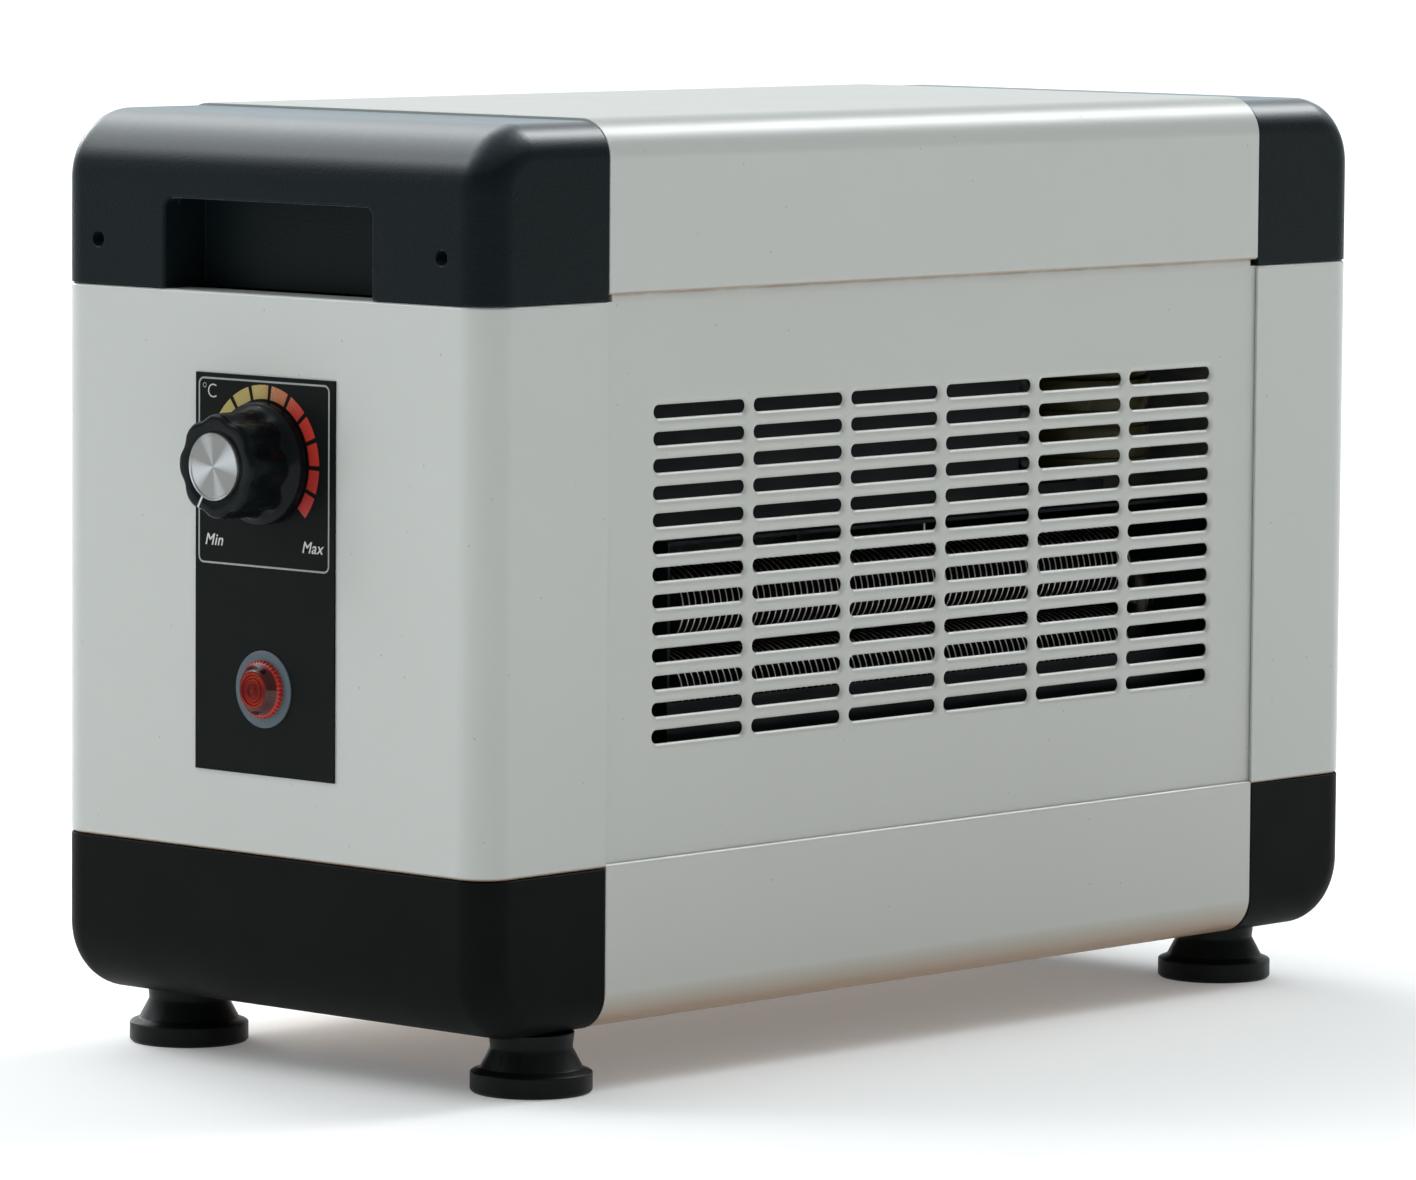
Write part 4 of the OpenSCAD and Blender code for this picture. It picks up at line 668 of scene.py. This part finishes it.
def welded(mesh, turn_out=False):
    # points that meet become one
    shell = bmesh.new()
    shell.from_mesh(mesh)
    bmesh.ops.remove_doubles(shell, verts=shell.verts, dist=0.001 * MM)
    if turn_out:
        bmesh.ops.recalc_face_normals(shell, faces=shell.faces)
    shell.to_mesh(mesh)
    shell.free()
    return mesh


knob_rings = [(KNOB_BACK - 12, (3.2, 0)), (KNOB_BACK - 7.5, (3.2, 0)), (KNOB_BACK - 7.5, (12.5, 0)),
              (KNOB_BACK, (12.7, 0)), (KNOB_BACK, (SKIRT_R - 0.4, 0)), (KNOB_BACK - 0.3, (SKIRT_R, 0)),
              (KNOB_BACK - 2.6, (SKIRT_R, 0)), (KNOB_BACK - 2.9, (SKIRT_R - 0.12, 0)),
              (KNOB_BACK - 3.1, (SKIRT_R - 0.4, 0)), (KNOB_BACK - 3.2, (SKIRT_R - 1.0, 0)),
              (KNOB_BACK - 3.7, (GRIP_R + 0.7, 0.2)), (KNOB_BACK - 4.4, (GRIP_R + 0.1, 1.0)),
              (KNOB_BACK - 5.8, (GRIP_R, 1.55)), (KNOB_BACK - 8, (GRIP_R, 1.6)),
              (KNOB_BACK - 12, (GRIP_R, 1.45)), (KNOB_BACK - 16, (GRIP_R - 0.05, 1.25)),
              (KNOB_FRONT + 1.3, (GRIP_R - 0.15, 1.1)), (KNOB_FRONT + 0.45, (GRIP_R - 0.4, 1.05)),
              (KNOB_FRONT + 0.1, (GRIP_R - 0.85, 1.0)), (KNOB_FRONT, (GRIP_R - 1.4, 0.9)),
              (KNOB_FRONT, (DISC_R + 0.35, 0)), (KNOB_FRONT + 0.15, (DISC_R + 0.1, 0)),
              (KNOB_FRONT + 1.15, (DISC_R + 0.08, 0)), (KNOB_FRONT + 1.15, (3.2, 0))]
knob_mesh = turned_mesh("knob", knob_rings, 192, knob_reach, 0, KNOB_Z)
add_piece("moulded_knob", knob_mesh, knob_black, "control_knob", ["knob"], "knob_plastic", turn=42)

spun = Finish("spun_disc")
spun_x, spun_y, spun_z = spun.axes()
spun_turn = spun.node("Math", {"operation": "ARCTAN2"}, {0: spun_z - KNOB_Z * MM, 1: spun_x})
spun_far = ((spun_x * spun_x) + (spun_z - KNOB_Z * MM) ** 2) ** 0.5
spun_rings = spun.node("TexNoise", {"noise_dimensions": "1D"}, {"W": spun_far, "Scale": 14000,
                                                                "Detail": 2.0})
# the base colour is lighter in opposite wedges round the centre: painted glints of the spun rings
wedge = spun.node("Math", {"operation": "SINE"}, {0: spun_turn * 2 + 0.9})
painted_glint_wedges = spun.spread(wedge, 0.35, 1.0) + spun.spread(wedge, -0.8, -1.0) * 0.5
spun_tone = spun.blend(painted_glint_wedges, (0.235, 0.238, 0.230), (0.485, 0.508, 0.530))
spun_disc = spun.coat(Base_Color=spun_tone, Metallic=0.9, Roughness=0.3, Anisotropic=0.6,
                      Normal=spun.relief(spun_rings, 0.01, 0.5))
DISC_FRONT, DISC_BACK = disc_low.y / MM, disc_high.y / MM
disc_rings = [(DISC_BACK, (DISC_R - 0.1, 0)), (DISC_FRONT + 0.35, (DISC_R, 0)),
              (DISC_FRONT + 0.08, (DISC_R - 0.12, 0)), (DISC_FRONT, (DISC_R - 0.45, 0)),
              (DISC_FRONT + 0.05, (DISC_R - 0.8, 0)), (DISC_FRONT + 0.3, (DISC_R - 1.0, 0)),
              (DISC_FRONT + 0.28, (5, 0)), (DISC_FRONT + 0.22, (0.4, 0))]
disc_mesh = turned_mesh("disc", disc_rings, 128, lambda a, s: s[0], 0, KNOB_Z)
add_piece("spun_knob_disc", disc_mesh, spun_disc, "control_knob", ["knob_disc"], "spun_disc")

POINTER = math.radians(240)
pointer_points, pointer_faces = [], []
POINTER_HALF = 0.36
radial = Vector((math.cos(POINTER), 0, math.sin(POINTER)))
aside = Vector((-math.sin(POINTER), 0, math.cos(POINTER)))
pointer_path = [(DISC_R + 0.3, KNOB_FRONT - 0.06), (GRIP_R - 1.5, KNOB_FRONT - 0.06),
                (GRIP_R - 0.75, KNOB_FRONT + 0.08), (GRIP_R - 0.22, KNOB_FRONT + 0.6),
                (GRIP_R - 0.05, KNOB_FRONT + 1.4)]
for reach, y in pointer_path:
    dip = 1.1 * hollow(POINTER) if reach > GRIP_R - 1 else 0
    for inner in (0, 0.35):
        for side in (-1, 1):
            on_rim = y > KNOB_FRONT + 0.3
            spot = radial * (reach - dip - (inner if on_rim else 0)) + aside * (side * POINTER_HALF)
            spot += Vector((0, y + (0 if on_rim else inner), KNOB_Z))
            pointer_points.append(tuple(spot * MM))
for k in range(len(pointer_path) - 1):
    a, b = 4 * k, 4 * k + 4
    pointer_faces += [(a, a + 1, b + 1, b), (a + 2, b + 2, b + 3, a + 3), (a, b, b + 2, a + 2),
                      (a + 1, a + 3, b + 3, b + 1)]
last = 4 * (len(pointer_path) - 1)
pointer_faces += [(0, 2, 3, 1), (last, last + 1, last + 3, last + 2)]
pointer_mesh = bpy.data.meshes.new("pointer")
pointer_mesh.from_pydata(pointer_points, [], pointer_faces)
add_piece("knob_pointer", pointer_mesh, pale_ink, "control_knob", slot="knob_plastic")

# Pilot lamp
# A red lens with a knurled foot and stepped rings on its face screws over a grey trim ring into
# the lamp's body. The neon behind it is off; daylight glowing through the plastic is painted into its colour.
ring_low, ring_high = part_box("pilot_ring")
lens_low, lens_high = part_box("pilot_lens")
LAMP_Z = (ring_low.z + ring_high.z) / 2 / MM
RING_R, RING_BORE, LENS_R = ring_high.x / MM - 0.25, 8.25, lens_high.x / MM
LENS_BACK, LENS_FRONT = lens_high.y / MM, lens_low.y / MM + 0.9
trim = Finish("grey_trim")
grey_trim = trim.coat(Base_Color=trim.blend(trim.clouds(3, 3), (0.070, 0.100, 0.118),
                                            (0.090, 0.122, 0.142)),
                      Specular_IOR_Level=0.3, Roughness=0.45, Normal=trim.relief(trim.clouds(0.6), 0.01, 0.4))
trim_rings = [(ring_high.y / MM, (RING_BORE, 0)), (ring_high.y / MM, (RING_R, 0)),
              (ring_low.y / MM + 0.15, (RING_R, 0)), (ring_low.y / MM, (RING_R - 0.2, 0)),
              (ring_low.y / MM, (RING_BORE, 0)), (ring_high.y / MM, (RING_BORE, 0))]
ring_mesh = turned_mesh("trim_ring", trim_rings, 128, lambda a, s: s[0], 0, LAMP_Z, False)
add_piece("lamp_trim_ring", welded(ring_mesh), grey_trim, "housing", ["pilot_ring"], "grey_trim")

lens = Finish("red_lens")
lens_x, lens_y, lens_z = lens.axes()
lens_far = ((lens_x * lens_x) + (lens_z - LAMP_Z * MM) ** 2) ** 0.5
lens_rib = lens.node("Math", {"operation": "SINE"}, {0: lens_far * (2 * math.pi / (0.95 * MM))})
# painted glow: the face is lighter than the cone, its rings brighter red, and the knurled rim bright red
lens_face = lens.spread(lens_far, (LENS_R - 3.0) * MM, (LENS_R - 3.4) * MM)
painted_rim_glow = lens.spread(lens_far, (LENS_R - 1.1) * MM, (LENS_R - 0.7) * MM)
painted_ring_glow = lens.spread(abs(lens_z - LAMP_Z * MM), 1.2 * MM, 4 * MM) * lens.spread(lens_rib, -0.3, 0.9)
lens_tone = lens.blend(lens_face, (0.055, 0.006, 0.006), (0.14, 0.011, 0.008))
lens_tone = lens.blend(lens_face * painted_ring_glow, lens_tone, (0.42, 0.032, 0.012))
lens_tone = lens.blend(painted_rim_glow, lens_tone, (0.42, 0.022, 0.012))
red_lens = lens.coat(Base_Color=lens_tone, Roughness=0.1, Specular_IOR_Level=0.03,
                     Normal=lens.relief(lens.clouds(1.3), 0.02, 0.3), Coat_Roughness=0.05,
                     Coat_Weight=lens.spread(lens_far, (LENS_R - 3.35) * MM, (LENS_R - 3.0) * MM, 0.03, 0.7))
KNURLS = 40


def lens_reach(angle, stage):
    radius, ridge = stage
    return radius + ridge * (0.5 * math.cos(KNURLS * angle) - 0.5)


lens_rings = [(LENS_BACK, (LENS_R - 0.2, 0)), (LENS_BACK - 0.15, (LENS_R, 0.55)),
              (LENS_BACK - 1.15, (LENS_R, 0.55)), (LENS_BACK - 1.5, (LENS_R - 0.5, 0.1)),
              (LENS_BACK - 1.7, (LENS_R - 0.85, 0)), (LENS_FRONT + 1.5, (LENS_R - 2.0, 0)),
              (LENS_FRONT + 0.55, (LENS_R - 2.4, 0)), (LENS_FRONT + 0.12, (LENS_R - 2.85, 0)),
              (LENS_FRONT, (LENS_R - 3.2, 0)), (LENS_FRONT, (4.5, 0)), (LENS_FRONT + 0.35, (4.25, 0)),
              (LENS_FRONT + 0.35, (3.5, 0)), (LENS_FRONT + 0.08, (3.2, 0)), (LENS_FRONT + 0.08, (2.3, 0)),
              (LENS_FRONT + 0.4, (2.0, 0)), (LENS_FRONT + 0.4, (1.3, 0)), (LENS_FRONT + 0.15, (1.0, 0)),
              (LENS_FRONT + 0.1, (0.25, 0))]
lens_mesh = turned_mesh("lens", lens_rings, 240, lens_reach, 0, LAMP_Z)
add_piece("lamp_lens", lens_mesh, red_lens, "housing", ["pilot_lens"], "red_lens", turn=40)

# Feet
# Four black levelling feet, each moulded round a threaded stud, so that turning the foot sets
# its height. The rim has rubbed a little paler from the floor.
rubber = Finish("foot_plastic")
foot_z = rubber.axes()[2]
rubbed = rubber.spread(foot_z, 1.5 * MM, 0.2 * MM) * rubber.spread(rubber.clouds(5, 3), 0.4, 0.6)
foot_tone = rubber.blend(rubber.clouds(12, 3), (0.0034, 0.0046, 0.0050), (0.0056, 0.0070, 0.0074))
foot_tone = rubber.blend(rubbed * 0.4, foot_tone, (0.018, 0.019, 0.019))
foot_black = rubber.coat(Base_Color=foot_tone, Specular_IOR_Level=0.14,
                         Normal=rubber.relief(rubber.clouds(1.2, 3), 0.03, 0.4),
                         Roughness=rubber.spread(rubber.clouds(7), 0.3, 0.7, 0.34, 0.5))
thread = Finish("stud_steel")
stud_z = thread.axes()[2]
turns = thread.node("Math", {"operation": "SINE"}, {0: stud_z * (2 * math.pi / (1.25 * MM))})
stud_steel = thread.coat(Base_Color=thread.blend(thread.clouds(6, 3), (0.45, 0.46, 0.47),
                                                 (0.60, 0.60, 0.58)), Metallic=0.95, Roughness=0.32,
                         Normal=thread.relief(turns, 0.4, 0.8))


def coat_nodes(material, *nodes):
    for node in nodes:
        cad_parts[node].data.materials.clear()
        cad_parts[node].data.materials.append(material)


for place in ("front_left", "front_right", "rear_left", "rear_right"):
    dress("foot_" + place, "moulded_foot_" + place, foot_black, "foot_plastic", 0.3, rounds=3,
          body="levelling_foot_" + place, turn=28)
    coat_nodes(stud_steel, "stud_" + place)

# Cable gland
# The cord's way in is a black nylon gland in the rear panel: a lock nut inside, a hexagon
# outside and a fluted dome nut, whose bore stays empty here.
nylon = Finish("black_nylon")
black_nylon = nylon.coat(Base_Color=nylon.blend(nylon.clouds(8, 3), (0.018, 0.018, 0.019),
                                                (0.030, 0.030, 0.032)),
                         Normal=nylon.relief(nylon.clouds(0.9, 2), 0.02, 0.4),
                         Roughness=nylon.spread(nylon.clouds(5), 0.3, 0.7, 0.36, 0.48))
gland_low, gland_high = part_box("cable_gland")
GLAND_X = (gland_low.x + gland_high.x) / 2 / MM
GLAND_Z = (gland_low.z + gland_high.z) / 2 / MM
WALL_Y, GLAND_END = 203.0, gland_high.y / MM
HEX_R, THREAD_R, BORE_R, FLUTES = 12.7, 9.2, 4.2, 24


def gland_reach(angle, stage):
    radius, form = stage
    if form == "hexagon":
        part = (angle + math.pi / 6) % (math.pi / 3) - math.pi / 6
        flat = radius * math.cos(math.pi / 6) / math.cos(part)
        return min(flat, radius - 0.25)
    if form == "fluted":
        return radius - 0.45 * (0.5 + 0.5 * math.cos(FLUTES * angle)) ** 3
    return radius


gland_rings = [(gland_low.y / MM, (BORE_R, "")), (gland_low.y / MM, (THREAD_R - 0.5, ""))]
for k in range(7):
    y = gland_low.y / MM + 0.5 + k * 1.2
    gland_rings += [(y, (THREAD_R, "")), (y + 0.6, (THREAD_R - 0.55, ""))]
gland_rings += [(WALL_Y, (THREAD_R, "")), (WALL_Y, (HEX_R - 1.3, "")), (WALL_Y + 0.5, (HEX_R, "hexagon")),
                (WALL_Y + 4.5, (HEX_R, "hexagon")), (WALL_Y + 5, (HEX_R - 1.3, "")),
                (WALL_Y + 5.1, (10.4, "")), (WALL_Y + 5.5, (10.4, "")), (WALL_Y + 5.6, (11.1, "")),
                (WALL_Y + 6.0, (11.4, "fluted")), (WALL_Y + 14.2, (11.3, "fluted")),
                (WALL_Y + 15.2, (10.9, "fluted")), (WALL_Y + 18.4, (10.1, "")), (WALL_Y + 20.4, (8.8, "")),
                (GLAND_END - 0.3, (7.6, "")), (GLAND_END, (7.0, "")), (GLAND_END, (BORE_R + 0.7, "")),
                (GLAND_END - 0.6, (BORE_R, "")), (gland_low.y / MM, (BORE_R, ""))]
gland_mesh = turned_mesh("gland", gland_rings, 144, gland_reach, GLAND_X, GLAND_Z, False)
add_piece("cord_gland", welded(gland_mesh), black_nylon, "housing", ["cable_gland"], "black_nylon",
          turn=40)
coat_nodes(black_nylon, "gland_nut")

# Chassis
# Base plate, bulkheads, spacers, clips and nuts are plain zinc-plated steel inside the covers;
# the two bulkheads close the blower's room off from the ends.
coat_nodes(zinc_steel, "base_plate", "base_spacers", "front_bulkhead", "rear_bulkhead", "bulb_clip",
           "foot_nuts", "thermostat_nut", "spindle")

# Blower
# The air duct behind the grille is given a near-black blue-grey, darker than its sheet: a painted
# shade for the dark inside of the box. Scroll and end plates are folded galvanised sheet, and so is the
# impeller, a cage of thin blades on a steel shaft.
duct = Finish("bright_metal_coated")
# painted shade: the duct is near black, as the inside of the box is dark
duct_shade_tone = duct.blend(duct.clouds(40, 3), (0.0050, 0.0078, 0.0094), (0.0080, 0.0112, 0.0128))
shaded_duct = duct.coat(Base_Color=duct_shade_tone, Specular_IOR_Level=0.15,
                      Normal=duct.relief(duct.clouds(2, 2), 0.02, 0.3),
                      Roughness=duct.spread(duct.clouds(18), 0.3, 0.7, 0.34, 0.5))
coat_nodes(shaded_duct, "air_duct")
galvanised = Finish("bright_metal")
spangle = galvanised.cells(7)
galvanised_sheet = galvanised.coat(
    Base_Color=galvanised.blend(spangle, (0.30, 0.31, 0.32), (0.42, 0.43, 0.44)), Metallic=0.9,
    Roughness=galvanised.spread(spangle, 0.1, 0.6, 0.34, 0.52))
coat_nodes(galvanised_sheet, "blower_scroll", "blower_front_plate", "blower_rear_plate", "impeller")
coat_nodes(zinc_steel, "shaft", "motor_screws")

# Motor
# The motor that turns the impeller is a stack of dark laminations with cast brackets. The winding
# at its outer side is wrapped in overlapping turns of yellow tape, painted a dark olive: a painted shade deep
# inside the box.
core = Finish("core_steel")
layer_y = core.axes()[1]
layers = core.node("Math", {"operation": "SINE"}, {0: layer_y * (2 * math.pi / (0.5 * MM))})
core_steel = core.coat(Base_Color=core.blend(core.clouds(7, 3), (0.10, 0.10, 0.105), (0.19, 0.18, 0.17)),
                       Metallic=0.8, Roughness=0.48, Normal=core.relief(layers, 0.08, 0.5))
coat_nodes(core_steel, "motor_stator", "motor_rotor")
cast = Finish("cast_aluminium")
cast_aluminium = cast.coat(Base_Color=cast.blend(cast.clouds(5, 3), (0.48, 0.49, 0.50), (0.60, 0.60, 0.60)),
                           Metallic=0.85, Roughness=0.5, Normal=cast.relief(cast.clouds(1.2, 3), 0.05, 0.5))
coat_nodes(cast_aluminium, "motor_brackets")
tape = Finish("yellow_tape")
# the yellow tape is painted dark olive: painted shade inside the box
yellow_tape = tape.coat(Base_Color=tape.blend(tape.clouds(9, 3), (0.030, 0.028, 0.008),
                                              (0.052, 0.048, 0.014)),
                        Normal=tape.relief(tape.clouds(2.2, 3), 0.08, 0.5), Specular_IOR_Level=0.25,
                        Roughness=tape.spread(tape.clouds(6), 0.3, 0.7, 0.26, 0.42))
coil_low, coil_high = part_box("motor_coil")
COIL_X = (coil_low.x + coil_high.x) / 2 / MM
COIL_Y = (coil_low.y + coil_high.y) / 2 / MM
COIL_R = (coil_high.x - coil_low.x) / 2 / MM
LEG_HALF_X, LEG_HALF_Y = 7.8, 12.3
TAPE_TURNS, COIL_STEPS = 7, 96
coil_points, coil_faces = [], []
coil_z0, coil_z1 = coil_low.z / MM, coil_high.z / MM
coil_profile = []
for k in range(TAPE_TURNS):
    z0 = coil_z0 + (coil_z1 - coil_z0) * k / TAPE_TURNS
    z1 = coil_z0 + (coil_z1 - coil_z0) * (k + 1) / TAPE_TURNS
    ends = 1.6 if k in (0, TAPE_TURNS - 1) else 0.0
    coil_profile += [(COIL_R - 0.75 - ends, z0 + 0.02), (COIL_R - 0.15 - ends / 2, (z0 + z1) / 2),
                     (COIL_R - ends * 0.7, z1 - 0.35), (COIL_R - 0.1 - ends, z1 - 0.05)]
for step in range(COIL_STEPS):
    a = 2 * math.pi * step / COIL_STEPS
    rough = 0.25 * math.sin(3 * a + 1) + 0.15 * math.sin(7 * a)
    for radius, z in coil_profile:
        r = min(radius + rough * 0.5 - 0.2, COIL_R)
        coil_points.append(((COIL_X + r * math.cos(a)) * MM, (COIL_Y + r * math.sin(a)) * MM, z * MM))
    ring_x = max(-LEG_HALF_X, min(LEG_HALF_X, 1.5 * LEG_HALF_X * math.cos(a)))
    ring_y = max(-LEG_HALF_Y, min(LEG_HALF_Y, 1.5 * LEG_HALF_Y * math.sin(a)))
    for z in (coil_z1, coil_z0):
        coil_points.append(((COIL_X + ring_x) * MM, (COIL_Y + ring_y) * MM, z * MM))
row = len(coil_profile) + 2
for step in range(COIL_STEPS):
    n = (step + 1) % COIL_STEPS
    for k in range(row):
        m = (k + 1) % row
        coil_faces.append((step * row + k, n * row + k, n * row + m, step * row + m))
coil_mesh = bpy.data.meshes.new("coil")
coil_mesh.from_pydata(coil_points, [], coil_faces)
add_piece("taped_coil", welded(coil_mesh, True), yellow_tape, "housing", ["motor_coil"],
          "yellow_tape", turn=50)

# Heating element
# A hairpin of steel-sheathed heater with thin fins pressed on at an even pitch. Heat has turned
# the steel dark. The fins' rims are painted near white: a painted highlight where their edges catch the
# light.
fins = Finish("element_steel")
fin_x, fin_y, fin_z = fins.axes()
LEG_X, LEG_LOW, LEG_HIGH, FIN_R = 58.0, 111.5, 137.5, 12.5
FIN_FIRST, FIN_PITCH, FIN_GLINT_WIDTH = -98.0, 2.8, 0.4
from_low = ((fin_x - LEG_X * MM) ** 2 + (fin_z - LEG_LOW * MM) ** 2) ** 0.5
from_high = ((fin_x - LEG_X * MM) ** 2 + (fin_z - LEG_HIGH * MM) ** 2) ** 0.5
nearest = fins.node("Math", {"operation": "MINIMUM"}, {0: from_low, 1: from_high})
rim = fins.spread(nearest, (FIN_R - 0.25) * MM, (FIN_R - 0.1) * MM)
along = fins.node("Math", {"operation": "FRACT"}, {0: (fin_y - FIN_FIRST * MM) / (FIN_PITCH * MM)})
fin_glint_band = fins.spread(along, (FIN_GLINT_WIDTH - 0.05) / FIN_PITCH, (FIN_GLINT_WIDTH + 0.05) / FIN_PITCH, 1, 0)
fin_tone = fins.blend(fins.clouds(18, 3), (0.060, 0.058, 0.056), (0.10, 0.092, 0.080))
# painted highlight: the fins' rims are painted near white
fin_tone = fins.blend(rim * fin_glint_band, fin_tone, (0.80, 0.79, 0.75))
element_steel = fins.coat(Base_Color=fin_tone, Metallic=0.85,
                          Roughness=fins.spread(fins.clouds(6, 3), 0.3, 0.7, 0.26, 0.42))
coat_nodes(element_steel, "heating_element")

# Inner fittings
# What sits behind the end panels: thermostat with its copper capillary, lamp body, cut-out,
# terminal block, seals, bearing, grommets and the sheathed wires between them.
plastic = Finish("pale_nylon")
pale_nylon = plastic.coat(Base_Color=plastic.blend(plastic.clouds(9, 2), (0.66, 0.65, 0.60),
                                                   (0.76, 0.75, 0.70)),
                          Roughness=0.45, Normal=plastic.relief(plastic.clouds(1.5), 0.02, 0.3))
coat_nodes(pale_nylon, "pilot_body", "terminal_block")
ceramic = Finish("ceramic_body")
ceramic_body = ceramic.coat(Base_Color=ceramic.blend(ceramic.clouds(4, 4), (0.70, 0.68, 0.62),
                                                     (0.82, 0.80, 0.75)),
                            Roughness=0.6, Normal=ceramic.relief(ceramic.clouds(0.8, 3), 0.04, 0.5))
coat_nodes(ceramic_body, "thermostat", "element_seals")
copper = Finish("copper_tube")
copper_tube = copper.coat(Base_Color=copper.blend(copper.clouds(10, 3), (0.62, 0.30, 0.17),
                                                  (0.78, 0.42, 0.26)),
                          Metallic=1.0, Roughness=0.3)
coat_nodes(copper_tube, "capillary")
phenolic = Finish("dark_phenolic")
dark_phenolic = phenolic.coat(Base_Color=phenolic.blend(phenolic.clouds(6, 3), (0.030, 0.022, 0.018),
                                                        (0.055, 0.040, 0.030)),
                              Roughness=0.35, Normal=phenolic.relief(phenolic.clouds(1), 0.01, 0.3))
coat_nodes(dark_phenolic, "thermal_cutout")
soft_black = Finish("black_rubber")
black_rubber = soft_black.coat(Base_Color=soft_black.blend(soft_black.clouds(6, 3), (0.015, 0.015, 0.015),
                                                           (0.035, 0.034, 0.033)),
                               Roughness=0.7, Normal=soft_black.relief(soft_black.clouds(1), 0.03, 0.4))
coat_nodes(black_rubber, "grommets", "front_bearing")
sheath = Finish("wire_sheath")
sheath_black = sheath.coat(Base_Color=sheath.blend(sheath.clouds(15, 2), (0.035, 0.037, 0.045),
                                                   (0.055, 0.058, 0.068)),
                           Roughness=0.42, Normal=sheath.relief(sheath.clouds(2), 0.02, 0.3))
coat_nodes(sheath_black, "wiring")
